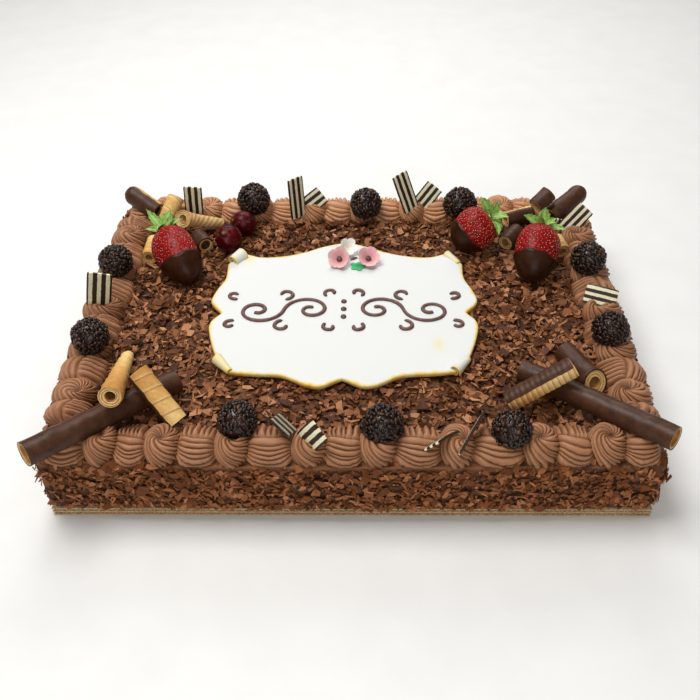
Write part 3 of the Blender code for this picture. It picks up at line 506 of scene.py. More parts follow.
class Shader:
    """A material's nodes, with short ways to add the kinds that the cake needs."""

    def __init__(self, name, **settings):
        self.material = bpy.data.materials.new(name)
        self.material.use_nodes = True
        self.tree = self.material.node_tree
        self.surface = self.tree.nodes["Principled BSDF"]
        self.set(self.surface, settings)

    def set(self, node, settings):
        for key, value in settings.items():
            socket = node.inputs[key.replace("_", " ") if isinstance(key, str) else key]
            if isinstance(value, bpy.types.NodeSocket):
                self.tree.links.new(value, socket)
            else:
                socket.default_value = value

    def node(self, kind, settings=None, **properties):
        node = self.tree.nodes.new("ShaderNode" + kind)
        for key, value in properties.items():
            setattr(node, key, value)
        self.set(node, settings or {})
        return node

    def place(self, stretch=(1, 1, 1)):
        """Places on the object, in millimetres before the stretch."""
        places = self.node("TexCoord").outputs["Object"]
        scale = tuple(1000.0 * share for share in stretch)
        return self.node("Mapping", {"Vector": places, "Scale": scale}).outputs["Vector"]

    def noise(self, size, detail=3.0, stretch=(1, 1, 1), rough=0.55):
        """Noise whose lumps have this size in millimetres."""
        settings = {"Vector": self.place(stretch), "Scale": 1.0 / size}
        settings.update({"Detail": detail, "Roughness": rough})
        return self.node("TexNoise", settings).outputs["Fac"]

    def cells(self, size, stretch=(1, 1, 1)):
        """Cells of this size in millimetres: a colour for each, and the distance to its middle."""
        settings = {"Vector": self.place(stretch), "Scale": 1.0 / size}
        return self.node("TexVoronoi", settings).outputs

    def value(self, name):
        return self.node("Attribute", attribute_name=name).outputs["Fac"]

    def ramp(self, factor, *stops):
        """Colours along a factor, from stops of a position and a colour."""
        node = self.node("ValToRGB", {"Fac": factor})
        elements = node.color_ramp.elements
        while len(elements) < len(stops):
            elements.new(0.5)
        for element, (position, colour) in zip(elements, stops):
            element.position = position
            element.color = srgb(*colour)
        return node.outputs["Color"]

    def span(self, value, low, high, to_low=0.0, to_high=1.0):
        """A value's range mapped onto another, clamped at both ends."""
        settings = {"Value": value, "From Min": low, "From Max": high}
        settings.update({"To Min": to_low, "To Max": to_high})
        return self.node("MapRange", settings).outputs["Result"]

    def mix(self, factor, first, second):
        """One colour into another. Either may be given as it was read off the photograph."""
        first, second = (srgb(*c) if isinstance(c, tuple) else c for c in (first, second))
        return self.node("Mix", {0: factor, 6: first, 7: second}, data_type="RGBA").outputs[2]

    def tint(self, colour, other, value, low, high, most):
        """A colour that turns towards another as a value rises."""
        return self.mix(self.span(value, low, high, 0.0, most), colour, other)

    def math(self, operation, first, second=0.5):
        return self.node("Math", {0: first, 1: second}, operation=operation).outputs[0]

    def plus(self, first, second):
        return self.math("ADD", first, second)

    def times(self, first, second):
        return self.math("MULTIPLY", first, second)

    def bump(self, height, depth, strength=1.0):
        """A bump whose full height is this depth in millimetres."""
        settings = {"Height": height, "Distance": depth * MM, "Strength": strength}
        return self.node("Bump", settings).outputs["Normal"]

    def finish(self, **settings):
        self.set(self.surface, settings)
        return self.material


def subsurface(weight, radius=(1.0, 0.2, 0.1), depth=1.0):
    """Settings for light that spreads below a surface, its depth in millimetres."""
    return {"Subsurface_Weight": weight, "Subsurface_Radius": radius, "Subsurface_Scale": depth * MM}


def cardboard_material():
    shader = Shader("cardboard", Roughness=0.95, Specular_IOR_Level=0.2)
    fibres = shader.noise(1.2, 5.0, (1, 0.15, 1))
    blotches = shader.noise(14.0, 3.0)
    paper = shader.ramp(fibres, (0.3, (176, 146, 108)), (0.55, (206, 178, 138)), (0.8, (226, 202, 164)))
    stained = shader.tint(paper, (160, 124, 86), blotches, 0.45, 0.8, 0.5)
    return shader.finish(Base_Color=stained, Normal=shader.bump(fibres, 0.15, 0.5))


def shaving_material(name, warmth):
    """Shavings of milk and dark chocolate, each with its own tone."""
    shader = Shader(name, Specular_IOR_Level=0.16)
    colour = shader.ramp(
        shader.value("tone"),
        (0.0, (44, 21, 8)),
        (0.22, (88, 50, 26)),
        (0.5, (132, 82, 48)),
        (0.78, (164, 110, 72)),
        (1.0, (200, 144, 104)),
    )
    streaks = shader.noise(0.9, 4.0)
    mottled = shader.tint(colour, (82, 46, 26), streaks, 0.35, 0.8, 0.4)
    scraped = shader.noise(0.5, 3.0, (1, 0.3, 1))
    return shader.finish(
        Base_Color=shader.mix(warmth, mottled, (158, 84, 28)),
        Roughness=shader.span(streaks, 0.3, 0.7, 0.42, 0.65),
        Normal=shader.bump(scraped, 0.12, 0.6),
    )


def core_material():
    """The thin coat of icing that the shavings stick to, kept dark as painted shade in the gaps between
    the shavings.
    """
    shader = Shader("coat under the shavings", Roughness=0.7, Specular_IOR_Level=0.15)
    lumps = shader.noise(2.6, 5.0)
    colours = shader.cells(3.6, (1, 1, 1.5))["Color"]
    flakes = shader.node("SeparateColor", {"Color": colours}).outputs["Red"]
    tone = shader.plus(flakes, shader.span(lumps, 0.2, 0.8, -0.25, 0.25))
    # The coat's tones vary by cell like crumbs. Their darkness is painted shade for the gaps between
    # the shavings.
    dark = shader.ramp(tone, (0.1, (42, 22, 10)), (0.5, (78, 46, 27)), (1.0, (124, 82, 54)))
    bare = shader.mix(shader.value("bare"), dark, (126, 84, 58))
    return shader.finish(Base_Color=bare, Normal=shader.bump(tone, 1.2, 0.9))


def icing_material(name, groove, slope, flank, crest):
    """Chocolate buttercream with painted shade in its grooves and painted light on its crests, and fine
    pits.
    """
    shader = Shader(name, Specular_IOR_Level=0.28)
    ridge = shader.value("ridge")
    # Painted shade and light: low ridge values darken the grooves, high ones lighten the crests.
    colour = shader.ramp(ridge, (0.0, groove), (0.2, slope), (0.5, flank), (1.0, crest))
    soft = shader.noise(9.0, 4.0)
    varied = shader.tint(colour, slope, soft, 0.35, 0.75, 0.35)
    pits = shader.noise(0.8, 5.0, rough=0.65)
    return shader.finish(
        Base_Color=varied,
        Roughness=shader.span(pits, 0.3, 0.7, 0.42, 0.58),
        **subsurface(0.06, (1.0, 0.5, 0.3)),
        Normal=shader.bump(pits, 0.2, 0.5),
    )


def truffle_material():
    shader = Shader("dark sprinkles", Specular_IOR_Level=0.42)
    tone = shader.value("tone")
    colour = shader.ramp(tone, (0.0, (22, 9, 3)), (0.6, (50, 27, 14)), (1.0, (98, 64, 40)))
    grain = shader.noise(0.5, 3.0)
    return shader.finish(
        Base_Color=colour,
        Roughness=shader.span(tone, 0.0, 1.0, 0.26, 0.45),
        Normal=shader.bump(grain, 0.06, 0.4),
    )


def roll_material():
    """Rolled wafer, golden with toasted seams and a painted highlight along each turn's lip, under
    chocolate where it was dipped.
    """
    shader = Shader("rolled wafer")
    turn, pitch = shader.value("turn"), shader.value("pitch")
    after = shader.math("FRACT", turn)
    before = shader.math("SUBTRACT", 1.0, after)
    after_seam = shader.span(shader.times(after, pitch), 0.15, 1.1, 1.0, 0.0)
    before_seam = shader.span(shader.times(before, pitch), 0.1, 0.5, 1.0, 0.0)
    seam = shader.math("MAXIMUM", after_seam, before_seam)
    lot = shader.math("SINE", shader.times(shader.math("FLOOR", turn), 12.9898))
    patches = shader.span(shader.noise(3.0, 4.0), 0.0, 1.0, 0.2, 0.8)
    bake = shader.plus(patches, shader.times(lot, 0.3))
    fine = shader.noise(0.8, 4.0)
    gold = shader.ramp(bake, (0.1, (176, 118, 54)), (0.5, (205, 156, 86)), (0.9, (232, 200, 134)))
    scorch = shader.times(seam, shader.span(shader.noise(4.0), 0.3, 0.7, 0.35, 0.8))
    # Painted highlight: a pale rim along each turn's lip, just before its seam.
    rim = shader.span(shader.times(before, pitch), 0.4, 2.4, 0.45, 0.0)
    pale = shader.mix(rim, gold, (248, 224, 166))
    toasted = shader.mix(scorch, pale, (150, 90, 36))
    crumbed = shader.tint(toasted, (164, 106, 50), fine, 0.5, 0.8, 0.3)
    coat = shader.ramp(shader.noise(6.0, 3.0), (0.35, (57, 32, 19)), (0.65, (77, 46, 28)))
    worn = shader.span(shader.noise(1.1, 3.0), 0.56, 0.75, 0.0, 0.45)
    speckle = shader.mix(worn, coat, (108, 70, 44))
    wander = shader.span(fine, 0, 1, -0.1, 0.1)
    edge = shader.span(shader.plus(shader.value("dip"), wander), 0.44, 0.56)
    sunk = shader.times(seam, shader.span(edge, 0.0, 1.0, 1.0, 0.2))
    ledge = shader.math("SUBTRACT", shader.times(fine, 0.3), sunk)
    return shader.finish(
        Base_Color=shader.mix(edge, crumbed, speckle),
        Roughness=shader.span(edge, 0.0, 1.0, 0.65, 0.42),
        Specular_IOR_Level=0.25,
        Normal=shader.bump(ledge, 0.35, 0.5),
    )


def plate_material():
    """Dark chocolate with ivory stripes along it, their edges a little uneven."""
    shader = Shader("striped chocolate", Specular_IOR_Level=0.35)
    wobble = shader.span(shader.noise(4.0, 2.0), 0.0, 1.0, -0.05, 0.05)
    across = shader.plus(shader.value("across"), wobble)
    wave = shader.math("PINGPONG", shader.times(across, 1 / 0.345), 1.0)
    stripe = shader.span(wave, 0.42, 0.5, 1.0, 0.0)
    face = shader.times(stripe, shader.value("face"))
    fine = shader.noise(1.0, 3.0)
    dark = shader.ramp(fine, (0.3, (34, 21, 12)), (0.7, (54, 35, 21)))
    ivory = shader.ramp(fine, (0.3, (212, 204, 168)), (0.7, (240, 234, 204)))
    return shader.finish(
        Base_Color=shader.mix(face, dark, ivory),
        Roughness=shader.span(fine, 0.3, 0.7, 0.35, 0.5),
        Normal=shader.bump(fine, 0.12, 0.4),
    )


def strawberry_material():
    """Red skin, pale near the leaves, under dark chocolate where it was dipped, with a painted
    highlight on the net between its pits and painted shade in them.
    """
    shader = Shader("dipped strawberry")
    blush = shader.noise(6.0, 3.0)
    red = shader.ramp(blush, (0.3, (104, 4, 8)), (0.55, (138, 7, 11)), (0.8, (162, 20, 20)))
    shoulder = shader.tint(red, (214, 96, 70), shader.value("height"), 0.9, 1.0, 0.55)
    # Painted highlight: the raised net between the pits is tinted paler.
    cells = shader.cells(1.3)["Distance"]
    netted = shader.tint(shoulder, (178, 40, 38), cells, 0.35, 0.75, 0.3)
    # Painted shade darkens the pits.
    pitted = shader.mix(shader.value("pit"), netted, (92, 2, 6))
    coat = shader.ramp(shader.noise(6.0, 3.0), (0.35, (40, 18, 5)), (0.7, (56, 27, 9)))
    edge = shader.span(shader.value("dip"), 0.4, 0.6)
    fine = shader.noise(1.4, 3.0)
    return shader.finish(
        Base_Color=shader.mix(edge, pitted, coat),
        Roughness=shader.span(edge, 0.0, 1.0, 0.33, 0.38),
        Specular_IOR_Level=0.12,
        Coat_Weight=0.05,
        Coat_Roughness=0.15,
        **subsurface(0.04, (1.0, 0.2, 0.1)),
        Normal=shader.bump(shader.mix(edge, cells, fine), 0.35, 0.6),
    )


def seed_material():
    shader = Shader("strawberry seeds", Roughness=0.35)
    fine = shader.noise(2.0, 2.0)
    # The seeds are real, but their pale pink is a painted highlight for the small glints on the skin.
    tan = shader.ramp(fine, (0.3, (206, 116, 96)), (0.5, (226, 156, 128)), (0.7, (240, 196, 156)))
    return shader.finish(Base_Color=tan)


def leaf_material():
    shader = Shader("strawberry leaves", Roughness=0.5, Specular_IOR_Level=0.3)
    blotch = shader.noise(2.5, 3.0)
    green = shader.ramp(blotch, (0.3, (80, 126, 44)), (0.55, (136, 172, 82)), (0.8, (190, 208, 128)))
    tipped = shader.tint(green, (60, 120, 46), shader.value("along"), 0.6, 1.0, 0.4)
    veined = shader.mix(shader.times(shader.value("vein"), 0.7), tipped, (188, 208, 136))
    return shader.finish(
        Base_Color=veined,
        **subsurface(0.1),
        Normal=shader.bump(shader.noise(1.0, 3.0), 0.2, 0.5),
    )


def grape_material():
    """Maroon skin under a pale bloom that is rubbed off in places."""
    shader = Shader("red grape", Specular_IOR_Level=0.12)
    bloom = shader.noise(5.0, 5.0, rough=0.6)
    skin = shader.ramp(shader.noise(8.0, 3.0), (0.35, (40, 0, 2)), (0.7, (82, 4, 7)))
    dusty = shader.tint(skin, (142, 84, 90), bloom, 0.52, 0.72, 0.55)
    scarred = shader.mix(shader.value("scar"), dusty, (120, 86, 50))
    return shader.finish(
        Base_Color=scarred,
        Roughness=shader.span(bloom, 0.4, 0.7, 0.26, 0.55),
        **subsurface(0.05, (1.0, 0.2, 0.2), 2.0),
    )


def plaque_material():
    """White sugar paste whose edges are toasted golden brown."""
    shader = Shader("white sugar plaque", Specular_IOR_Level=0.3)
    wander = shader.span(shader.noise(10.0, 4.0), 0.25, 0.75, -1.6, 1.6)
    distance = shader.plus(shader.value("edge"), wander)
    reach = shader.math("SUBTRACT", distance, shader.times(shader.value("heat"), 3.6))
    toast = shader.ramp(
        shader.span(reach, -4.0, 4.0),
        (0.0, (100, 50, 8)),
        (0.2, (164, 100, 22)),
        (0.42, (212, 162, 62)),
        (0.62, (220, 200, 132)),
        (0.85, (212, 213, 210)),
    )
    stain = shader.mix(shader.value("stain"), toast, (222, 200, 104))
    powder = shader.noise(1.5, 4.0)
    return shader.finish(
        Base_Color=stain,
        Roughness=0.5,
        **subsurface(0.05, (1.0, 0.9, 0.7)),
        Normal=shader.bump(powder, 0.1, 0.35),
    )


def chocolate_line_material():
    shader = Shader("piped chocolate", Specular_IOR_Level=0.35)
    flow = shader.noise(2.2, 3.0)
    return shader.finish(
        Base_Color=shader.ramp(flow, (0.3, (78, 50, 42)), (0.7, (108, 76, 66))),
        Roughness=0.42,
        Normal=shader.bump(flow, 0.25, 0.5),
    )


def sugar_material(name, deep, pale):
    """Sugar paste that is deeper in colour towards the throat and powdery on top."""
    shader = Shader(name, Roughness=0.55, Specular_IOR_Level=0.3)
    powder = shader.noise(1.0, 4.0)
    colour = shader.ramp(shader.value("along"), (0.1, deep), (0.75, pale))
    return shader.finish(
        Base_Color=shader.tint(colour, pale, powder, 0.45, 0.8, 0.25),
        **subsurface(0.1),
        Normal=shader.bump(powder, 0.15, 0.5),
    )


def floor_material():
    shader = Shader("pale floor", Roughness=0.7, Specular_IOR_Level=0.2)
    grain = shader.noise(40.0, 3.0)
    return shader.finish(Base_Color=shader.ramp(grain, (0.2, (228, 227, 224)), (0.8, (234, 233, 230))))


# Board and cake


def add_box(skin, low, high):
    corners = [(x, y, z) for x in (0, 1) for y in (0, 1) for z in (0, 1)]
    low, high = np.array(low), np.array(high)
    points = [low + (high - low) * corner for corner in corners]
    faces = [(0, 1, 3, 2), (4, 6, 7, 5), (0, 4, 5, 1), (2, 3, 7, 6), (0, 2, 6, 4), (1, 5, 7, 3)]
    skin.add(points, faces)


def make_board(material):
    """Three paper liners with two fluted sheets between them, the flutes from front to back."""
    skin = Skin()
    half_x, half_y = BOARD_SIZE[0] / 2, BOARD_SIZE[1] / 2
    gap = (BOARD_THICKNESS - 3 * LINER) / 2
    for level in range(3):
        z = level * (LINER + gap)
        add_box(skin, (-half_x, -half_y, z), (half_x, half_y, z + LINER))
    for level, wave in enumerate(FLUTES):
        middle = LINER + gap / 2 + level * (LINER + gap)
        steps = round(2 * half_x / wave * 8)
        x = np.linspace(-half_x + 0.4, half_x - 0.4, steps)
        rise = np.sin(math.tau * x / wave + level)
        bend = np.clip(rise * 1.7, -1, 1) * (gap / 2 - 0.05)
        rows = []
        for y in (-half_y + 0.3, half_y - 0.3):
            for side in (-FLUTE_THICKNESS / 2, FLUTE_THICKNESS / 2):
                rows.append(np.stack((x, np.full_like(x, y), middle + bend + side), -1))
        order = (rows[0], rows[1], rows[3], rows[2], rows[0])
        skin.add(np.concatenate(order), grid_faces(5, steps))
    skin.piece("board", material, ["cake_board"], soft=False)


def cake_loop(inset, steps=400):
    """Points round the cake, this far in from its wall, with the way each one faces."""
    half = np.array(CAKE_SIZE) / 2 - CORNER_RADIUS
    corners, facings = [], []
    quarter = steps // 4
    for turn in range(4):
        angle = math.radians(90 * turn)
        out = np.array((math.cos(angle), math.sin(angle)))
        along = np.array((-math.sin(angle), math.cos(angle)))
        reach = half[turn % 2]
        span = half[1 - turn % 2] - max(0.0, inset + 0.5 - CORNER_RADIUS)
        count = round(quarter * (1.1 if turn % 2 else 0.8))
        share = np.linspace(-1, 1, count)
        bow = CAKE_BOW * (1 - share**2)
        line = np.outer(reach + CORNER_RADIUS + bow - inset, out) + np.outer(share * span, along)
        corners.append(line)
        facings.append(np.tile(out, (count, 1)))
        bend = np.radians(np.linspace(0, 90, 8)[1:-1])
        arm = np.outer(np.cos(bend), out) + np.outer(np.sin(bend), along)
        centre = out * (reach - max(0.0, inset + 0.5 - CORNER_RADIUS)) + along * span
        corners.append(centre + arm * max(CORNER_RADIUS - inset, 0.5))
        facings.append(arm)
    return np.concatenate(corners), np.concatenate(facings)


def foot(z):
    """How far the wall has drawn in at a height."""
    return FOOT_INSET * (1 - np.clip((z - CAKE_BOTTOM) / FOOT_HEIGHT, 0, 1))


def make_core(material):
    """The iced slab below the shavings, its walls a little uneven."""
    skin = Skin()
    rows = []
    insets = [(float(foot(z)), z) for z in np.linspace(CAKE_BOTTOM, CAKE_TOP - 2.0, 12)]
    insets += [(0.4, CAKE_TOP - 1.0), (1.2, CAKE_TOP - 0.3), (2.5, CAKE_TOP)]
    insets += [(step, CAKE_TOP) for step in (6, 12, 20, 30, 42, 56, 72, 90, 110, 130)]
    bare = []
    for inset, z in insets:
        loop, facing = cake_loop(inset)
        points = np.column_stack((loop, np.full(len(loop), z)))
        lumps = 0.7 * noise(points, 9.0, 1) + 0.5 * noise(points, 4.0, 2)
        if z < CAKE_TOP:
            points[:, :2] += facing * (lumps - 0.9)[:, None]
        else:
            points[:, 2] += lumps - 0.7
        rows.append(points)
        near_top = ease((z - CAKE_TOP + 3.5) / 2.0)
        middle = ease((130 - np.abs(loop[:, 0])) / 60)
        bare.append(near_top * (0.35 + 0.65 * middle) * (1.0 if inset < 14 else 0.0))
    faces = tube_faces(len(rows), len(rows[0]))
    skin.add(np.concatenate(rows), faces, bare=np.concatenate(bare))
    skin.piece("cake_coat", material, ["cake_body"])


def turn_about(axes, angle):
    """Frames given by rows x, y and z, each turned about its own z."""
    cosine, sine = np.cos(angle)[:, None], np.sin(angle)[:, None]
    x = axes[:, 0] * cosine + axes[:, 1] * sine
    y = axes[:, 1] * cosine - axes[:, 0] * sine
    return np.stack((x, y, axes[:, 2]), 1)


def frames_facing(directions):
    """A frame for each direction, whose z follows it."""
    z = units(directions)
    helper = np.where(np.abs(z[:, 2:3]) > 0.9, (1.0, 0.0, 0.0), UP)
    x = units(np.cross(helper, z))
    return np.stack((x, np.cross(z, x), z), 1)


def add_many(skin, local, faces, places, facings, turns, tones):
    """Many small pieces of the same build, each with its own points, place, facing and tone."""
    count, each = local.shape[:2]
    axes = turn_about(frames_facing(facings), turns)
    points = places[:, None, :] + np.einsum("nkc,ncd->nkd", local, axes)
    every = [[index + k * each for index in face] for k in range(count) for face in faces]
    skin.add(points.reshape(-1, 3), every, tone=np.repeat(tones, each))


def chips(sizes, corners, rng):
    """Thin broken plates with uneven corners, each bent a little, and the faces of one."""
    count = len(sizes)
    angle = np.arange(corners) / corners * math.tau + rng.uniform(-0.45, 0.45, (count, corners))
    reach = sizes[:, None] / 2 * rng.uniform(0.6, 1.3, (count, corners))
    x = np.cos(angle) * reach
    y = np.sin(angle) * reach * rng.uniform(0.5, 1.0, (count, 1))
    bend = rng.uniform(-0.06, 0.12, (count, 1)) / np.maximum(sizes[:, None] / 6, 0.6)
    lift = bend * x * x
    thick = rng.uniform(0.3, 0.8, (count, 1))
    low = np.stack((x * 0.94, y * 0.94, lift - thick / 2), -1)
    high = np.stack((x, y, lift + thick / 2), -1)
    return np.concatenate((low, high), 1), tube_faces(2, corners)


def shards(lengths, rng):
    """Long narrow shavings that curl up at their ends, and the faces of one."""
    count = len(lengths)
    wide = rng.uniform(0.5, 1.3, count) * np.sqrt(lengths / 6)
    thick = rng.uniform(0.25, 0.5, count)
    curl = rng.uniform(-0.05, 0.22, count)
    sway = rng.uniform(-0.12, 0.12, count)
    local = np.zeros((count, 3, 4, 3))
    for i, (share, width) in enumerate(((-0.5, 0.45), (0.05, 1.0), (0.5, 0.3))):
        for k, (side, level) in enumerate(((-1, -1), (1, -1), (1, 1), (-1, 1))):
            local[:, i, k, 0] = lengths * share
            local[:, i, k, 1] = side * wide * width + sway * lengths * (1 - 4 * share * share)
            local[:, i, k, 2] = level * thick / 2 + curl * lengths * 4 * share * share * 0.5
    return local.reshape(count, 12, 3), tube_faces(3, 4)


def shaving_tones(rng, count):
    tones = rng.beta(1.7, 1.6, count)
    dark = rng.random(count) < DARK_SHARE
    return np.where(dark, tones * 0.25, tones)


# Sorts of shavings, from the lowest layer up: how many for the top and for the sides, their
# sizes, how far out they lie, how much they lean, and their corners, or 0 for a long shard.
SHAVING_SORTS = (
    (2900, 2600, (2.0, 4.5), 0.2, 0.5, 4),
    (4000, 3500, (4.0, 9.5), 0.8, 0.4, 5),
    (1300, 1200, (4.5, 11.0), 1.3, 0.35, 0),
    (110, 90, (8.0, 13.0), 1.8, 0.2, 5),
)


def add_sort(skin, sort, places, facings, rng, scale=1.0):
    """Adds shavings of one sort at places, each leaning off the way its surface faces."""
    _, _, sizes, _, lean, corners = sort
    count = len(places)
    size = scale * (sizes[0] + (sizes[1] - sizes[0]) * rng.random(count) ** 1.4)
    local, faces = chips(size, corners, rng) if corners else shards(size, rng)
    facings = facings + scale * rng.normal(0, lean, (count, 3)) * (1, 1, 0.5)
    tones = shaving_tones(rng, count)
    if sizes[0] > 7:
        tones = tones * 0.3
    add_many(skin, local, faces, places, facings, rng.uniform(0, math.tau, count), tones)


def top_room(points):
    """Whether shavings belong at points of the top: between the border and the plaque's middle."""
    inside = (np.abs(points) < TOP_ROOM).all(1)
    covered = (np.abs(points - PLAQUE_CENTRE) < UNDER_PLAQUE).all(1)
    return inside & ~covered


def make_top_shavings(material):
    rng = np.random.default_rng(11)
    reach = np.array(TOP_REACH)
    skin = Skin()
    for sort in SHAVING_SORTS:
        count = round(sort[0] * DETAIL)
        flat = rng.uniform(-reach, reach, (count * 2, 2))
        flat = flat[top_room(flat)][:count]
        z = CAKE_TOP + sort[3] + rng.uniform(-0.5, 1.0, len(flat))
        under_plaque = np.hypot(*(flat - PLAQUE_CENTRE).T) < 88
        z = np.where(under_plaque, np.minimum(z, CAKE_TOP + 0.8), z)
        facing = np.tile(UP, (len(flat), 1))
        add_sort(skin, sort, np.column_stack((flat, z)), facing, rng)
    skin.piece("shavings_top", material, soft=False)


def wall_places(rng, count, low, high):
    """Random points on the cake's four walls, with the way each one faces."""
    loop, facing = cake_loop(0.0, 2400)
    pick = rng.integers(0, len(loop), count)
    z = rng.uniform(low, high, count)
    flat = loop[pick] - facing[pick] * foot(z)[:, None]
    return np.column_stack((flat, z)), np.column_stack((facing[pick], np.zeros(count)))


def make_side_shavings(material):
    rng = np.random.default_rng(12)
    skin = Skin()
    for sort in SHAVING_SORTS:
        clear = CAKE_BOTTOM + 0.42 * sum(sort[2]) / 2
        places, facing = wall_places(rng, round(sort[1] * DETAIL), clear, CAKE_TOP - 2.2)
        places += facing * (sort[3] - 0.5 + rng.uniform(-0.4, 0.5, len(places)))[:, None]
        add_sort(skin, sort, places, facing, rng, SIDE_SHAVING_SCALE)
    edge, facing = wall_places(rng, round(EDGE_SHAVINGS * DETAIL), CAKE_TOP - 3.0, CAKE_TOP - 0.5)
    edge -= facing * rng.uniform(0.0, 6.0, len(edge))[:, None]
    edge[:, 2] += 1.2
    keep = (np.abs(edge[:, 0]) > 120) | (edge[:, 1] > 0) | (rng.random(len(edge)) < 0.25)
    add_sort(skin, SHAVING_SORTS[1], edge[keep], (facing + (0, 0, 1.2))[keep], rng)
    skin.piece("shavings_side", material, soft=False)


# Piped border

SIDES = {
    "front": (0, (1, 0), (0, -1), FRONT_CURLS, CAKE_SIZE[0] / 2 - 3),
    "left": (1, (0, -1), (-1, 0), LEFT_CURLS, SIDE_BORDER_END + 3),
    "back": (0, (-1, 0), (0, 1), BACK_CURLS, CAKE_SIZE[0] / 2 - 3),
    "right": (1, (0, 1), (1, 0), RIGHT_CURLS, SIDE_BORDER_END + 3),
}


def border_points(side, along, out, height):
    """World points from places along a side, out from the border's line, and above the cake."""
    axis, run, face, _, _ = SIDES[side]
    length, depth = CAKE_SIZE[axis], CAKE_SIZE[1 - axis]
    bow = CAKE_BOW * (1 - (2 * along / length) ** 2)
    reach = depth / 2 - BORDER_CENTRE + bow + out
    flat = along[..., None] * np.array(run) + reach[..., None] * np.array(face)
    return np.concatenate((flat, (CAKE_TOP + height)[..., None]), -1)


def pillow(share, crest=0.6):
    """A ridge's height across its width: a slow rise to its crest, then a quicker fall."""
    rising = share / crest / 2
    falling = 0.5 + (share - crest) / (1 - crest) / 2
    return np.abs(np.sin(math.pi * np.where(share < crest, rising, falling))) ** 0.62


def ridge_places(rng, count, span, spread):
    """Places across a number of uneven ridges, with each one's share of its ridge and its size."""
    widths = rng.uniform(1 - spread, 1 + spread, count)
    widths *= span / widths.sum()
    starts = np.cumsum(widths) - widths
    places = (starts[:, None] + widths[:, None] * RIDGE_STEPS).reshape(-1)
    sizes = np.repeat(widths * count / span, len(RIDGE_STEPS))
    return places, np.tile(RIDGE_STEPS, count), sizes


def frosting_noise(points):
    """Small hand-piped unevenness, the same for every neighbour."""
    moved = np.stack([noise(points, 7.0, seed) for seed in (21, 22, 23)], -1) * 0.55
    fine = np.stack([noise(points, 2.4, seed) for seed in (24, 25, 26)], -1) * 0.16
    return moved + fine


def add_swirl(skin, side, middle, rng):
    """A curl of icing across the border: ridges that wind out of an eye sunk in its crest."""
    turn, share, size = ridge_places(rng, int(rng.integers(10, 13)), math.tau, 0.35)
    whole = (pillow(share, 0.62) * np.sqrt(size))[None, :]
    halves = (pillow(np.mod(2 * share, 1.0), 0.5) * np.sqrt(size))[None, :]
    t = np.linspace(0, 1, round(SWIRL_STEPS * DETAIL))[:, None]
    split = ease((t - 0.3) / 0.35)
    ridge = (1 - split) * whole + split * (0.3 * whole + 0.7 * halves)
    theta = turn[None, :] + rng.uniform(0, math.tau) + rng.uniform(2.4, 3.1) * t**0.75
    eye = np.array((rng.uniform(-1.0, 3.6), rng.uniform(-4.6, -2.4)))
    if side == "front":
        eye += FRONT_EYE_SHIFT
    axes = np.array((rng.uniform(11.4, 12.8), rng.uniform(14.2, 15.2)))
    centre = np.array((0.0, 0.5))
    start = (eye - centre) / axes
    heading = np.stack((np.cos(theta), -np.sin(theta)), -1) / axes
    a = (heading**2).sum(-1)
    b = (heading * start).sum(-1)
    c = (start**2).sum() - 1
    reach = (-b + np.sqrt(b * b - a * c)) / a
    bend = t * math.radians(100)
    cosine = np.cos(bend)
    radius = reach * np.sin(np.minimum(bend, math.pi / 2)) ** 0.92
    radius = radius * (1 - 0.1 * ease((bend - 1.5) / 0.25))
    height = rng.uniform(15.0, 16.6) * np.sign(cosine) * np.abs(cosine) ** 0.7
    relief = (ridge - 0.6) * 2.4 * ease(t / 0.28) * (1 - 0.3 * ease((t - 0.8) / 0.2))
    radius = radius + relief * np.sin(bend) - 2.0 * (1 - ridge) * ease((t - 0.7) / 0.3)
    height = height + relief * np.maximum(cosine, 0.2)
    height -= 3.8 * bell(t * 13, 2.8)
    height = np.maximum(height, -1.2)
    s = eye[0] + radius * np.cos(theta)
    o = eye[1] - radius * np.sin(theta)
    points = border_points(side, middle + s, o, height).reshape(-1, 3)
    points += frosting_noise(points)
    # The ridge value paints shade in the grooves and the sunk eye, and light on the crests.
    depth = ridge * ease(t / 0.22) + 0 * theta
    skin.add_rings(points, *theta.shape, ridge=depth)


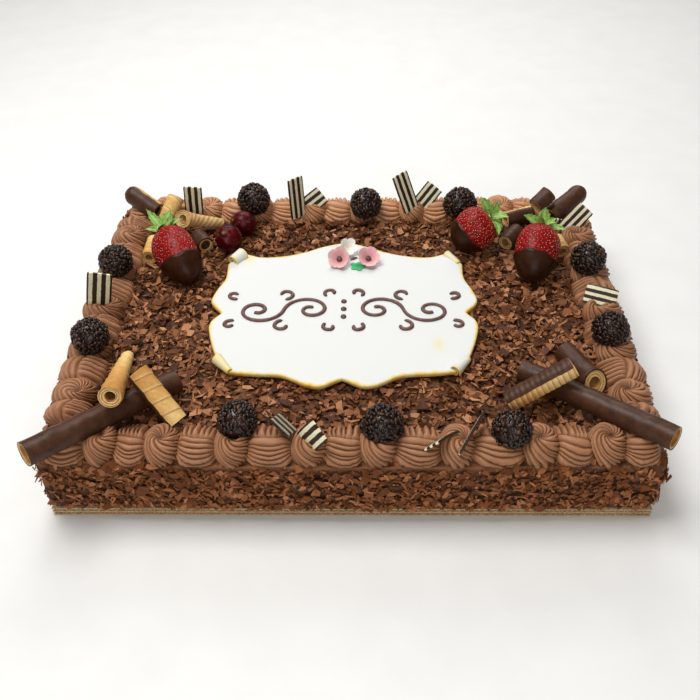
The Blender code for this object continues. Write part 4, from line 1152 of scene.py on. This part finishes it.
def add_shell(skin, side, start, end, rng, shut):
    """A shell of icing along the border, with a fluted crown behind its crest and creases that
    sag like smiles in front of it. Shut holds 1 for an end that closes at a corner. The back's
    shells are turned round, so that their creases face the plaque."""
    u, share, size = ridge_places(rng, int(rng.integers(7, 9)), 1.0, 0.35)
    u, share, size = np.append(u, 1.0)[:, None], np.append(share, 0.0), np.append(size, 1.0)
    flute = (pillow(share, 0.5) * np.sqrt(size))[:, None]
    swell = np.sin(math.pi * u)
    length = end - start
    ends = ease(np.minimum(u, 1 - u) / 0.22)
    dome = np.ones_like(u)
    turned = side == "back"
    for closes, near in zip(shut[::-1] if turned else shut, (u, 1 - u)):
        if closes:
            tip = np.clip(near * length / 8.0, 0, 1)
            dome = dome * np.maximum(np.sqrt(1 - (1 - tip) ** 2), 0.03)
    slant = rng.uniform(-0.25, 0.7)
    pinch = 0.66 + 0.34 * swell**0.8
    folds = np.append((0.0, 0.42), rng.uniform(0.18, 0.42, int(rng.integers(3, 5))))
    creases = CREST + (np.cumsum(folds) - folds[0]) * 1.45 / folds[1:].sum()
    edges = [CREST + (crease - CREST) * pinch + slant * (u - 0.5) for crease in creases]
    edges.append(np.full_like(u, math.pi))
    crown = np.linspace(0, 1, CROWN_STEPS)[None, :-1]
    alpha = [edges[0] * crown]
    behind = ease((alpha[0] - 0.1) / 0.3) * (1 - ease((alpha[0] - 1.2) / 0.4))
    crest = 1 - bell(edges[0] - alpha[0], 0.1)
    # Ridge values paint shade in the crown's flutes, along the crest's edge and in the creases.
    ridge = [behind * flute + (1 - behind) * (0.35 + 0.65 * crest)]
    relief = [behind * (flute - 0.5) * 3.2 * ends + (1 - behind) * 0.9 * crest]
    for low, high in zip(edges, edges[1:]):
        alpha.append(low + (high - low) * CREASE_STEPS[None, :])
        rise = pillow(CREASE_STEPS, 0.45)[None, :] * np.sqrt((high - low) / 0.3)
        ridge.append(rise + 0 * u)
        relief.append((rise - 0.55) * 2.3 * (0.45 + 0.55 * swell))
    alpha.append(edges[-1])
    ridge.append(0.3 + 0 * u)
    relief.append(-0.6 + 0 * u)
    alpha, ridge, relief = (np.concatenate(rows, 1) for rows in (alpha, ridge, relief))
    wide = (11.3 + 2.9 * swell) * (0.62 + 0.38 * ends) * dome
    high = (10.2 + 3.4 * swell) * (0.58 + 0.42 * ends) * dome
    sine, cosine = np.sin(alpha), np.cos(alpha)
    teeth = 3.4 * flute**2 * ease((0.8 - alpha) / 0.6) * swell**0.5
    hem = 0.45 * ease((alpha - 2.5) / 0.4) * (flute - 0.6)
    out = -cosine * (wide + (relief + hem) * dome) + (2.6 * swell - 1.0) - teeth
    height = np.abs(sine) ** 0.8 * (high + relief * dome) - 0.4
    along = start + length * u + 1.0 * sine * np.cos(math.pi * u)
    if turned:
        along, out = start + end - along, -out
    points = border_points(side, along, out, height).reshape(-1, 3)
    points += frosting_noise(points)
    skin.add(points, grid_faces(*alpha.shape), ridge=ridge)


def press_balls(points):
    """Moves icing out of the truffles that are pressed into it."""
    for centre, radius in TRUFFLES:
        arm = points - on_top(centre)
        distance = np.linalg.norm(arm, axis=1)
        inside = distance < radius
        points[inside] = on_top(centre) + arm[inside] * (radius / distance[inside])[:, None] * 0.98
    return points


def press_rolls(points):
    """Moves icing out of the rolls that lie in it, downwards where it can."""
    for start, end, near, far in ROLLS.values():
        start, end = on_top(start), on_top(end)
        run = end - start
        share = (points - start) @ run / (run @ run)
        radius = near + (far - near) * np.clip(share, 0, 1)
        nearest = start + np.clip(share, 0, 1)[:, None] * run
        arm = points - nearest
        distance = np.linalg.norm(arm, axis=1)
        inside = (distance < radius) & (share > -0.01) & (share < 1.01)
        arm[:, 2] = np.minimum(arm[:, 2], -0.25 * radius)
        points[inside] = nearest[inside] + (units(arm) * radius[:, None])[inside] * 0.98
    return points


def make_border(side, material):
    rng = np.random.default_rng(len(side) * 7 + 3)
    _, run, _, curls, reach = SIDES[side]
    sign = run[0] + run[1]
    middles = sorted(sign * curl for curl in curls)
    starts = [-reach] + [middle + SHELL_START for middle in middles]
    ends = [middle - SHELL_START for middle in middles] + [reach]
    skin = Skin()
    last = len(starts) - 1
    for i, (start, end) in enumerate(zip(starts, ends)):
        add_shell(skin, side, start, end, rng, (i == 0, i == last))
    for middle in middles:
        add_swirl(skin, side, middle, rng)
    skin.points = [press_rolls(press_balls(points)) for points in skin.points]
    skin.piece("icing_" + side, material, ["piping_" + side])


# Truffles


def batons(count, length, radius, rng):
    """Short round sprinkles with narrower ends, and the faces of one."""
    sides = 5
    stations = ((-0.5, 0.42), (-0.28, 0.95), (0.28, 0.95), (0.5, 0.42))
    angle = np.arange(sides) / sides * math.tau
    local = np.zeros((count, len(stations), sides, 3))
    long = (length * rng.uniform(0.75, 1.25, count))[:, None]
    thick = (radius * rng.uniform(0.8, 1.2, count))[:, None]
    for i, (share, wide) in enumerate(stations):
        local[:, i, :, 0] = long * share
        local[:, i, :, 1] = np.cos(angle) * thick * wide
        local[:, i, :, 2] = np.sin(angle) * thick * wide
    return local.reshape(count, -1, 3), tube_faces(len(stations), sides)


def sphere_directions(count, spin=0.0):
    """Directions spread evenly over a sphere."""
    i = np.arange(count) + 0.5
    z = 1 - 2 * i / count
    return about_z(i * GOLDEN_ANGLE + spin, np.sqrt(1 - z * z), z)


def round_grid(rows, columns):
    """Directions of a sphere's grid from its bottom to its top, one row for each level."""
    polar = np.linspace(0, math.pi, rows)[:, None]
    around = np.linspace(0, math.tau, columns, endpoint=False)[None, :]
    return about_z(around, np.sin(polar), -np.cos(polar)).reshape(-1, 3)


def make_truffle(number, centre, radius, material):
    rng = np.random.default_rng(number + 40)
    skin = Skin()
    rows, columns = 20, 30
    place = on_top(centre)
    shape = round_grid(rows, columns) * (radius - BALL_DEPTH)
    shape *= (1 + 0.03 * noise(shape, 4.0, number))[:, None]
    skin.add_rings(place + shape, rows, columns, tone=0.1)
    count = round(SPRINKLES * DETAIL)
    directions = sphere_directions(count, rng.uniform(0, math.tau))
    directions = units(directions + rng.normal(0, 0.045, directions.shape))
    keep = directions[:, 2] > LOWEST_SPRINKLE
    if number in BARE_PATCHES:
        facing, size = BARE_PATCHES[number]
        apart = np.linalg.norm(directions - unit(facing), axis=1)
        keep &= (apart > size) | (rng.random(count) < 0.12)
    directions = directions[keep]
    count = len(directions)
    height = radius - SPRINKLE_DEPTH + rng.uniform(-0.45, 0.45, count)
    places = place + directions * height[:, None]
    lean = directions + rng.normal(0, 0.2, directions.shape)
    local, faces = batons(count, SPRINKLE_LENGTH, SPRINKLE_RADIUS, rng)
    turns = rng.uniform(0, math.tau, count)
    add_many(skin, local, faces, places, lean, turns, rng.beta(1.3, 2.2, count))
    name = f"truffle_{number:02d}"
    skin.piece(name + "_sprinkled", material, [name], angle=75)


# Rolls, plates and fruit


def make_roll(name, material):
    """A rolled wafer with its winding seams, its spiral ends and its chocolate.

    The value turn counts how often the wafer has wound round, and pitch is how far apart two
    turns lie in millimetres, so the shader can draw a fine seam wherever turn is a whole number.
    """
    start, end, near, far = ROLLS[name]
    start, end = on_top(start), on_top(end)
    middle = (start + end) / 2
    spacing, starts, step, side, cover = ROLL_LOOKS.get(name, GOLD_LOOK)
    opening, lean_up, lean_over = OPENED.get(name, (0.0, 0.0, 0.0))
    length = np.linalg.norm(end - start)
    axes = basis(end - start)
    side = np.array(side, float)
    side = unit(side - (side @ axes[2]) * axes[2])
    seed = sum(map(ord, name))
    rng = np.random.default_rng(seed)
    dark = cover < -1
    cigar = name.startswith("cigar")
    columns = round(48 * DETAIL)
    rows = max(14, round(length / 1.1 * DETAIL))
    around = np.linspace(-math.pi / 2, 1.5 * math.pi, columns + 1)[None, :]
    z = np.linspace(-length / 2, length / 2, rows)[:, None]
    turns = starts * around / math.tau + z / spacing + rng.uniform(0, 1)
    winding = np.mod(turns, 1.0)
    from_seam = np.minimum(winding, 1 - winding)
    saw = (winding - 0.5) * (1 - bell(from_seam, 0.08))
    radius = near + (far - near) * (z / length + 0.5)
    flare = 1 + opening * (1 - ease((z + length / 2) / 14.0))
    if name in ROUNDED:
        tip = np.clip((z + length / 2) / near, 0, 1)
        flare = np.sqrt(np.maximum(1 - (1 - tip) ** 2, 0.01))
    outer = (radius - 0.45 + step * saw) * flare
    closed = name in FILLED or name in ROUNDED
    hole, layers = CIGAR_WALL if cigar else WAFER_WALL
    if closed:
        hole = 0.0

    def to_world(reach, height):
        near_start = np.clip(0.5 - height / length, 0, 1) ** 4
        lean = lean_up * np.sin(around) + lean_over * np.cos(around)
        height = height + lean * near_start * reach
        return middle + about_z(around, reach, height).reshape(-1, 3) @ axes

    def dip_of(points):
        """Whether each point is under chocolate, with a soft and wandering edge."""
        reach = (points - middle) @ side / max(near, far)
        return ease(0.5 + (reach - cover + 0.08 * noise(points, 4.0, seed)) * 5.0)

    body = Skin()
    points = to_world(outer, z)
    arm = points - middle
    arm = units(arm - np.outer(arm @ axes[2], axes[2]))
    dip = dip_of(points)
    lumps = 0.14 * noise(points, 5.0, seed) + 0.3 * dip * (not dark)
    points += arm * lumps[:, None]
    faces = grid_faces(rows, columns + 1)
    body.add(points, faces, turn=turns, pitch=spacing / starts, dip=dip)
    rings = 10
    share = np.linspace(0, 1, rings)[:, None]
    faces = grid_faces(rings, columns + 1)
    for sign, row in ((-1, 0), (1, rows - 1)):
        edge = outer[row][None, :]
        reach = edge * (1 - share * (1 - hole))
        spiral = share * layers + sign * around / math.tau
        groove = bell(np.mod(spiral, 1.0) - 0.5, 0.16)
        depth = 0.8 * groove * ease(share / 0.15) + 0.4 * share
        cap = to_world(reach, sign * (length / 2 - depth))
        rim = dip_of(to_world(edge, sign * length / 2 + 0 * edge))
        coat = rim[None, :] * ease((0.22 - share) / 0.1)
        if closed:
            coat = np.maximum(coat, ease((share - 0.3) / 0.1))
        wall = near * (1 - hole) / layers
        way = flipped(faces) if sign < 0 else faces
        body.add(cap, way, turn=spiral + 0.5, pitch=wall, dip=coat)
    if not closed:
        reach = np.array((near * (1 + opening), far))[:, None] * hole
        inner = to_world(reach, np.array((0.4 - length / 2, length / 2 - 0.4))[:, None])
        faces = flipped(grid_faces(2, columns + 1))
        body.add(inner, faces, turn=0.12, pitch=2.6, dip=0.35 if cigar else 0.2)
    body.piece(name + "_rolled", material, [name], angle=50)


def make_plate(number, plate, material):
    """A thin plate of striped chocolate, with soft corners and a bend along its length."""
    start, end, face, width, bend = plate
    start, end = on_top(start), on_top(end)
    length = np.linalg.norm(end - start)
    axes = basis(end - start, np.array(face))
    z = np.linspace(-1, 1, 15)[:, None]
    x = z.T
    edge = np.minimum(1 - np.abs(x), 1 - np.abs(z))
    thick = PLATE_THICKNESS / 2 * (0.7 + 0.3 * ease(edge / 0.14))
    # The side away from its facing comes first, so that both sides' faces point outwards.
    sheets = []
    for side in (-1, 1):
        local = (
            x * width / 2 * (1 - 0.02 * np.abs(z) ** 8),
            bend * (1 - z * z) + side * thick,
            z * length / 2 * (1 - 0.03 * np.abs(x) ** 6),
        )
        sheets.append((start + end) / 2 + np.stack(local, -1) @ axes)
    shows = 0.4 if number in DULL_PLATES else 1.0
    skin = Skin()
    skin.add_sheet(*sheets, across=x, face=shows * (np.abs(x) < 0.99))
    name = f"striped_plate_{number:02d}"
    skin.piece(name + "_chocolate", material, [name], angle=40)


def berry_radius(share):
    """A strawberry's radius from its tip (0) to its leaves (1), as a share of its widest."""
    widest = 0.66
    low = (1 - (1 - np.minimum(share, widest) / widest) ** 2.1) ** 0.6
    high = np.sqrt(np.maximum(0.0, 1 - ((share - widest) / 0.37) ** 2))
    return np.where(share < widest, low, high)


def make_strawberry(key, material, seed_stuff):
    leaves, tip, width = STRAWBERRIES[key]
    top, bottom = on_top(leaves), on_top(tip)
    length = np.linalg.norm(top - bottom)
    axes = basis(top - bottom)
    rows, columns = round(66 * DETAIL), round(90 * DETAIL)
    share = (1 - np.cos(np.linspace(0, math.pi, rows))) / 2
    around = np.linspace(0, math.tau, columns, endpoint=False)
    share, around = np.meshgrid(share, around, indexing="ij")
    seed = list(STRAWBERRIES).index(key) + 1

    def surface(share, around):
        """Points of the bare fruit and the way each faces."""
        lobes = 1 + 0.02 * np.cos(3 * around + seed) * ease(share * 2)
        reach = width / 2 * berry_radius(share) * lobes
        local = about_z(around, reach, (share - 0.5) * length)
        facing = units(about_z(around, 1.0, (share - 0.45) * 1.6))
        return (top + bottom) / 2 + local @ axes, facing @ axes

    flat, turn = share.reshape(-1), around.reshape(-1)
    points, facing = surface(flat, turn)
    seed_share, seed_around = [], []
    rng = np.random.default_rng(seed)
    for row, level in enumerate(np.linspace(0.3, 0.96, BERRY_SEED_ROWS)):
        number = max(4, round(float(berry_radius(np.array(level))) * BERRY_SEEDS_ROUND))
        for i in range(number):
            seed_share.append(level + rng.normal(0, 0.009))
            seed_around.append(math.tau * (i + 0.5 * (row % 2) + rng.normal(0, 0.16)) / number)
    seed_share = np.array(seed_share)
    seeds, seed_facing = surface(seed_share, np.array(seed_around))
    pit = np.zeros(len(points))
    for place in seeds:
        pit = np.maximum(pit, bell(np.linalg.norm(points - place, axis=1), PIT_WIDTH))

    def dip_line(turn):
        """The share of the fruit that is dipped, lowest on the side that faces up and forward."""
        waves = 0.012 * np.sin(3 * turn + seed) + 0.008 * np.sin(7 * turn + 2 * seed)
        return 0.42 - 0.06 * np.cos(turn - math.radians(100)) + waves

    line = dip_line(turn) + 0.008 * noise(points, 3.0, seed)
    dip = ease(0.5 + (line - flat) / 0.022)
    points = points - facing * (PIT_DEPTH * pit * (1 - dip))[:, None]
    bead = bell((line - flat) - 0.03, 0.03)
    coat = 0.8 + 0.3 * noise(points, 9.0, 5 + seed) + 0.35 * bead
    points = points + facing * (coat * dip)[:, None]
    # The last row closes the fruit under its leaves.
    points = np.concatenate((points, np.tile(top - axes[2] * 0.6, (columns, 1))))
    dip, pit = (np.append(value, np.zeros(columns)) for value in (dip, pit))
    flat = np.append(flat, np.ones(columns))
    skin = Skin()
    skin.add_rings(points, rows + 1, columns, dip=dip, pit=pit * 0.8, height=flat)
    node = "strawberry_" + key
    skin.piece(node + "_dipped", material, [node])
    grain = Skin()
    shape = round_grid(4, 5) * BERRY_SEED_SIZE
    showing = seed_share > dip_line(np.array(seed_around)) + 0.03
    for place, face in zip(seeds[showing], seed_facing[showing]):
        grain.add_rings(place - face * 0.6 + shape @ basis(face, axes[2]), 4, 5)
    grain.piece(node + "_seeds", seed_stuff)


def make_calyx(key, material):
    """Thin pointed leaves round a short stem, each arched out to its own tip."""
    leaves, tip, _ = STRAWBERRIES[key]
    top, bottom = on_top(leaves), on_top(tip)
    axes = basis(top - bottom)
    skin = Skin()
    t = np.linspace(0, 1, 12)[:, None]
    c = np.linspace(-1, 1, 7)[None, :]
    profile = np.maximum(np.sin(math.pi * (t * 0.82 + 0.12)) ** 0.8 * (1 - t**4), 0.04)
    profile = profile * (1 + 0.16 * np.cos(30 * t) * ease(t / 0.3))
    for i, (end, wide) in enumerate(CALYX_LEAVES[key]):
        end = on_top(end)
        root = top + axes[2] * 0.8 + unit(end - top) * 1.0
        drop = max(0.0, float((root - end) @ axes[2]))
        bend = (root + end) / 2 + axes[2] * (1.2 + 0.95 * drop) + UP * 1.2
        middle = (1 - t) ** 2 * root + 2 * (1 - t) * t * bend + t**2 * end
        side = unit(np.cross(end - root, axes[2] * 0.5 + (0.0, -0.74, 0.67)))
        lift = np.cross(side, unit(end - root))
        cup = 1.3 * np.abs(c) ** 1.5 * profile + 0.45 * np.sin(9 * t + i) * c
        upper = middle[:, None, :] + (c * wide * profile)[..., None] * side
        upper = upper + cup[..., None] * lift
        skin.add_sheet(upper, upper - 0.4 * lift, vein=bell(c, 0.2), along=t)
    turn = np.linspace(0, math.tau, 12, endpoint=False)
    stem = np.concatenate([about_z(turn, reach, height) for height, reach in STEM])
    skin.add_rings(top + stem @ axes, len(STEM), 12, vein=0.8, along=0.1)
    node = "calyx_" + key
    skin.piece(node + "_leaves", material, [node])


def make_grape(name, material):
    centre, radii, scar_facing = GRAPES[name]
    rows, columns = round(42 * DETAIL), round(56 * DETAIL)
    ball = round_grid(rows, columns)
    apart = np.linalg.norm(ball - unit(scar_facing), axis=1)
    dent = 1 - 0.09 * bell(apart, 0.14) + 0.02 * bell(apart - 0.2, 0.06)
    shape = ball * radii * dent[:, None]
    shape *= (1 + 0.012 * noise(shape, 6.0, len(name)))[:, None]
    skin = Skin()
    scar = ease((0.17 - apart) / 0.06)
    skin.add_rings(on_top(centre) + shape, rows, columns, scar=scar)
    skin.piece(name + "_skin", material, [name])


# Plaque


def outline_points(per_curve=10):
    """The plaque's whole outline: curves through its points, sharp at its corners."""
    half = list(PLAQUE_OUTLINE)
    points = half + [(-x, y, corner) for x, y, corner in half[-2:0:-1]]
    count = len(points)
    outline = []
    for i in range(count):
        before, here, after, beyond = (points[(i + k) % count] for k in (-1, 0, 1, 2))
        p0, p1, p2, p3 = (np.array(p[:2], float) for p in (before, here, after, beyond))
        reach = np.linalg.norm(p2 - p1) / 3
        start = p1 + (p2 - p1) / 3 if here[2] else p1 + unit(p2 - p0) * reach
        finish = p2 - (p2 - p1) / 3 if after[2] else p2 - unit(p3 - p1) * reach
        for t in np.linspace(0, 1, per_curve, endpoint=False):
            blend = (1 - t) ** 3 * p1 + 3 * (1 - t) ** 2 * t * start
            outline.append(blend + 3 * (1 - t) * t * t * finish + t**3 * p2)
    return np.array(outline)


def edge_distance(points, outline):
    """How far each point is from an outline."""
    ends = np.roll(outline, -1, axis=0)
    best = np.full(len(points), 1e9)
    for a, b in zip(outline, ends):
        run = b - a
        share = np.clip((points - a) @ run / (run @ run), 0, 1)
        best = np.minimum(best, np.linalg.norm(points - a - share[:, None] * run, axis=1))
    return best


def plaque_height(flat):
    """The plaque's top surface above the cake, a little wavy, its corners lifted."""
    spots = np.column_stack((flat, np.zeros(len(flat))))
    height = PLAQUE_REST + PLAQUE_THICKNESS + 0.3 * noise(spots, 38.0, 31)
    for x, y, _ in CURLED_CORNERS:
        apart = np.hypot(flat[:, 0] - x, flat[:, 1] - y)
        height += CORNER_LIFT * bell(apart, 9.0)
    return height


def spot_heat(flat, spots):
    """Warm spots added up at flat places: each has a place, a strength and a reach."""
    total = np.zeros(len(flat))
    for x, y, power, reach in spots:
        total += power * bell(np.hypot(flat[:, 0] - x, flat[:, 1] - y), reach)
    return total


def make_plaque(material):
    """A cut sheet of sugar paste with rounded, toasted edges and rolled corners."""
    outline = outline_points()
    spacing = PLAQUE_SPACING / DETAIL
    across, along = np.arange(-100, 101, spacing), np.arange(-85, 86, spacing)
    grid = np.array([(x, y) for x in across for y in along])
    grid += np.random.default_rng(5).uniform(-0.3, 0.3, grid.shape)
    centre = outline.mean(0)
    ahead = np.roll(outline, -1, axis=0) - np.roll(outline, 1, axis=0)
    normal = units(np.column_stack((-ahead[:, 1], ahead[:, 0])))
    inward = np.sign(((centre - outline) * normal).sum(1))[:, None] * normal
    inner = [grid[edge_distance(grid, outline) > PLAQUE_INNER]]
    for inset in RIM_LOOPS:
        moved = outline + inward * inset
        inner.append(moved[edge_distance(moved, outline) > inset * 0.8])
    count = len(outline)
    loop = [(i, (i + 1) % count) for i in range(count)]
    vectors = [Vector(p) for p in np.concatenate((outline, *inner)).tolist()]
    flat, _, faces, _, _, _ = delaunay_2d_cdt(vectors, loop, [], 1, 1e-5)
    flat = np.array([tuple(p) for p in flat])
    distance = edge_distance(flat, outline)
    from_edge = 1 - np.minimum(distance / RIM_WIDTH, 1)
    rounding = RIM_DROP * (1 - np.sqrt(np.clip(1 - from_edge**2, 0, 1)))
    top = plaque_height(flat) - rounding
    low = plaque_height(flat) - PLAQUE_THICKNESS + 0.5 * rounding
    number = len(flat)
    points = np.concatenate((np.column_stack((flat, top)), np.column_stack((flat, low))))
    edges = {(a, b) for face in faces for a, b in zip(face, face[1:] + face[:1])}
    all_faces = [list(face) for face in faces]
    all_faces += [[i + number for i in face] for face in flipped(faces)]
    all_faces += [[b, a, a + number, b + number] for a, b in edges if (b, a) not in edges]
    spots = np.column_stack((flat, np.zeros(number)))
    heat = 0.5 + 0.4 * noise(spots, 16.0, 33) + spot_heat(flat, TOASTED_SPOTS)
    stain = spot_heat(flat * (1.6, 0.8), STAINS)
    edge, heat, stain = (np.tile(value, 2) for value in (distance, heat, stain))
    skin = Skin()
    place = np.array((*PLAQUE_CENTRE, CAKE_TOP))
    skin.add(place + points, all_faces, edge=edge, heat=heat, stain=stain)
    for (x, y, turn), look in zip(CURLED_CORNERS, CURL_LOOKS):
        add_curl(skin, x, y, math.radians(turn), look)
    skin.piece("plaque_sugar", material, ["plaque"], angle=60)


def add_curl(skin, x, y, turn, look):
    """A corner of the sheet rolled up into a cone."""
    axes = basis(np.array((math.sin(turn), -math.cos(turn), 0.0)))
    place = np.array((PLAQUE_CENTRE[0] + x, PLAQUE_CENTRE[1] + y, CAKE_TOP))
    place[2] += PLAQUE_REST + PLAQUE_THICKNESS / 2 + CORNER_LIFT
    wide, narrow, length, heat, stain = look
    place[2] += max(0.0, narrow - wide) * 1.5
    t = np.linspace(0, 1, 9)[:, None]
    turns = np.linspace(0, CURL_TURNS * math.tau, 32)[None, :]
    radius = (wide + (narrow - wide) * t) * (0.42 + 0.58 * turns / turns.max())
    reaches = (radius, radius - CURL_THICKNESS)
    sheets = [place + about_z(turns, reach, (t - 0.5) * length) @ axes for reach in reaches]
    edge = np.minimum(np.minimum(t, 1 - t) * length, (turns.max() - turns) * radius) + 0.6
    skin.add_sheet(*sheets, edge=edge, heat=heat, stain=stain)


def add_line(skin, path):
    """A piped line of chocolate with round ends, flattened where it lies."""
    path = np.asarray(path, float)
    side = units(np.cross(units(np.gradient(path, axis=0)), UP))
    sides = 8
    count = len(path)
    steps = np.arange(count)
    from_end = np.minimum(np.minimum(steps, count - 1 - steps) / 2.0, 1)
    taper = np.sqrt(np.clip(1 - (1 - from_end) ** 2, 0.02, 1))
    reach = LINE_RADIUS * taper * (1 + 0.1 * noise(path, 6.0, 51))
    turn = np.linspace(0, math.tau, sides, endpoint=False)
    rings = (
        path[:, None, :]
        + side[:, None, :] * (np.cos(turn) * reach[:, None])[..., None]
        + UP * (np.sin(turn) * reach[:, None] * LINE_FLATNESS)[..., None]
    )
    skin.add(rings.reshape(-1, 3), tube_faces(count, sides))


def on_plaque(flat, rise):
    """World points on the plaque from places relative to its centre."""
    flat = np.asarray(flat, float).reshape(-1, 2)
    height = plaque_height(flat) + rise
    return np.column_stack((flat + PLAQUE_CENTRE, CAKE_TOP + height))


def make_ornament(material):
    """The mirrored scrolls and dots piped on the plaque."""
    skin = Skin()
    for mirror in (1, -1):
        paths = []
        for centre, outer, start, turns, inner in SCROLLS:
            share = np.linspace(0, 1, max(16, round(36 * abs(turns))))
            angle = math.radians(start) + math.tau * turns * share
            radius = outer * (inner / outer) ** share
            x = (centre[0] + radius * np.cos(angle)) * mirror
            y = centre[1] + radius * np.sin(angle) * LINE_FLATNESS
            paths.append(np.column_stack((x, y)))
        joined = np.concatenate((paths[0][::-1], paths[1][1:]))
        for path in [joined, *paths[2:]]:
            add_line(skin, on_plaque(path, LINE_RISE))
    ball = round_grid(10, 16) * (1, 1, 0.75)
    for spot in CENTRE_DOTS:
        place = on_plaque([spot], 0.2)
        skin.add_rings(place + ball * DOT_SIZE * LINE_RADIUS, 10, 16)
    skin.piece("plaque_ornament", material)


def make_blossom(name, material, brown):
    """Five cupped sugar petals round a dark centre."""
    throat, facing, radius = BLOSSOMS[name]
    axes = basis(facing, np.array((0.0, 1.0, 0.0)))
    place = on_top(throat)
    t = np.linspace(0.02, 1, 14)[:, None]
    theta = np.linspace(0, math.tau, 80, endpoint=False)[None, :]
    lobe = np.abs(np.cos(2.5 * theta)) ** 0.45
    deep = 0.26 if "white" in name else 0.14
    reach = radius * t * (1 - (1 - lobe) * deep * ease((t - 0.25) / 0.6))
    cup = -0.3 + 0.72 * t**1.7 + 0.07 * np.cos(5 * theta) * t**3
    groove = -0.08 * bell(lobe, 0.35) * ease((t - 0.1) / 0.4)
    height = radius * (cup + groove - 0.1 * ease((t - 0.82) / 0.18))
    ruffle = 0.25 * np.sin(11 * theta + 4 * t) * t**4
    local = about_z(theta, reach, height + ruffle)
    skin = Skin()
    skin.add_sheet(place + local @ axes, place + (local - UP * 0.8) @ axes, wrap=True, along=t)
    slot = "pink" if "pink" in name else "white"
    skin.piece(name + "_petals", material, [name])
    heart = Skin()
    ball = round_grid(10, 14) * (2.3, 2.3, 1.5)
    ball *= (1 + 0.12 * noise(ball, 1.2, 71))[:, None]
    if slot == "pink":
        heart.add_rings(place + (ball + (0, 0, -0.16 * radius)) @ axes, 10, 14)
    else:
        stroke = ball * (1.4, 0.5, 0.7) @ basis(UP, np.array((-0.5, 0.86, 0.0)))
        heart.add_rings(on_top(STROKE_PLACE) + stroke, 10, 14)
    heart.piece(name + "_centre", brown)


def make_sugar_leaf(material):
    """A green leaf with five lobes, its middle raised."""
    length, width = SUGAR_LEAF_SIZE
    t = np.linspace(0.02, 1, 10)[:, None]
    theta = np.linspace(0, math.tau, 60, endpoint=False)[None, :]
    lobe = 1 - 0.24 * (0.5 - 0.5 * np.cos(5 * theta)) * ease(t)
    x = np.cos(theta) * length / 2 * t * lobe
    y = np.sin(theta) * width / 2 * t * lobe
    z = 1.6 - 0.9 * t + 0.25 * np.cos(5 * theta) * t
    place = on_top((*SUGAR_LEAF_PLACE, PLAQUE_REST + PLAQUE_THICKNESS + 0.2))
    upper = place + np.stack((x, y, z), -1)
    skin = Skin()
    skin.add_sheet(upper, upper - UP * 0.7, wrap=True, along=t)
    skin.piece("sugar_leaf_lobed", material, ["sugar_leaf"])


# Stage


def make_camera():
    yaw, pitch, roll = (math.radians(angle) for angle in CAMERA_ANGLES)
    level = math.cos(pitch)
    ahead = np.array((math.sin(yaw) * level, math.cos(yaw) * level, -math.sin(pitch)))
    right = np.array((math.cos(yaw), -math.sin(yaw), 0.0))
    up = np.cross(right, ahead)
    tilted_right = math.cos(roll) * right + math.sin(roll) * up
    tilted_up = -math.sin(roll) * right + math.cos(roll) * up
    rotation = Matrix((tilted_right, tilted_up, -ahead)).transposed().to_4x4()
    data = bpy.data.cameras.new("camera")
    data.lens = CAMERA_LENS
    data.sensor_width = CAMERA_SENSOR
    data.clip_start = 0.01
    camera = add_object("camera", data)
    camera.matrix_world = Matrix.Translation(Vector(CAMERA_PLACE) * MM) @ rotation
    bpy.context.scene.camera = camera


def make_light(name, place, size, power):
    data = bpy.data.lights.new(name, "AREA")
    data.shape = "RECTANGLE"
    data.size, data.size_y = size
    data.energy = power
    light = add_object(name, data)
    aim = Vector(LIGHT_AIM) - Vector(place)
    light.location = place
    light.rotation_euler = aim.to_track_quat("-Z", "Y").to_euler()


def make_stage(material):
    mesh = bpy.data.meshes.new("floor")
    square = np.array(((-1, -1), (1, -1), (1, 1), (-1, 1))) * FLOOR_REACH
    mesh.from_pydata([(x, y, FLOOR_LEVEL) for x, y in square.tolist()], [], [(0, 1, 2, 3)])
    mesh.materials.append(material)
    floor = add_object("floor", mesh)
    for name, (place, size, power) in LIGHTS.items():
        make_light(name, place, size, power)
    world = bpy.data.worlds.new("studio")
    world.use_nodes = True
    background = world.node_tree.nodes["Background"]
    background.inputs["Color"].default_value = WORLD_COLOUR
    background.inputs["Strength"].default_value = WORLD_STRENGTH
    bpy.context.scene.world = world
    bpy.context.scene.view_settings.view_transform = "Standard"


def main():
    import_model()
    make_board(cardboard_material())
    make_core(core_material())
    make_top_shavings(shaving_material("top shavings", 0.02))
    make_side_shavings(shaving_material("side shavings", 0.24))
    icing = icing_material("buttercream", *BUTTERCREAM)
    # The back's run gets the copy of the icing painted lighter: painted light.
    pale = icing_material("buttercream painted lighter", *BUTTERCREAM_PAINTED_LIGHTER)
    for side in SIDES:
        make_border(side, pale if side == "back" else icing)
    dark = truffle_material()
    for number, (centre, radius) in enumerate(TRUFFLES, 1):
        make_truffle(number, centre, radius, dark)
    wafer = roll_material()
    for name in ROLLS:
        make_roll(name, wafer)
    striped = plate_material()
    for number, plate in enumerate(PLATES, 1):
        make_plate(number, plate, striped)
    berry, seeds, leaves = strawberry_material(), seed_material(), leaf_material()
    for key in STRAWBERRIES:
        make_strawberry(key, berry, seeds)
        make_calyx(key, leaves)
    grape = grape_material()
    for name in GRAPES:
        make_grape(name, grape)
    make_plaque(plaque_material())
    line = chocolate_line_material()
    make_ornament(line)
    pink = sugar_material("pink sugar", *PINK_SUGAR)
    white = sugar_material("white sugar", *WHITE_SUGAR)
    green = sugar_material("green sugar", *GREEN_SUGAR)
    for name in BLOSSOMS:
        make_blossom(name, pink if "pink" in name else white, line)
    make_sugar_leaf(green)
    make_camera()
    make_stage(floor_material())


main()
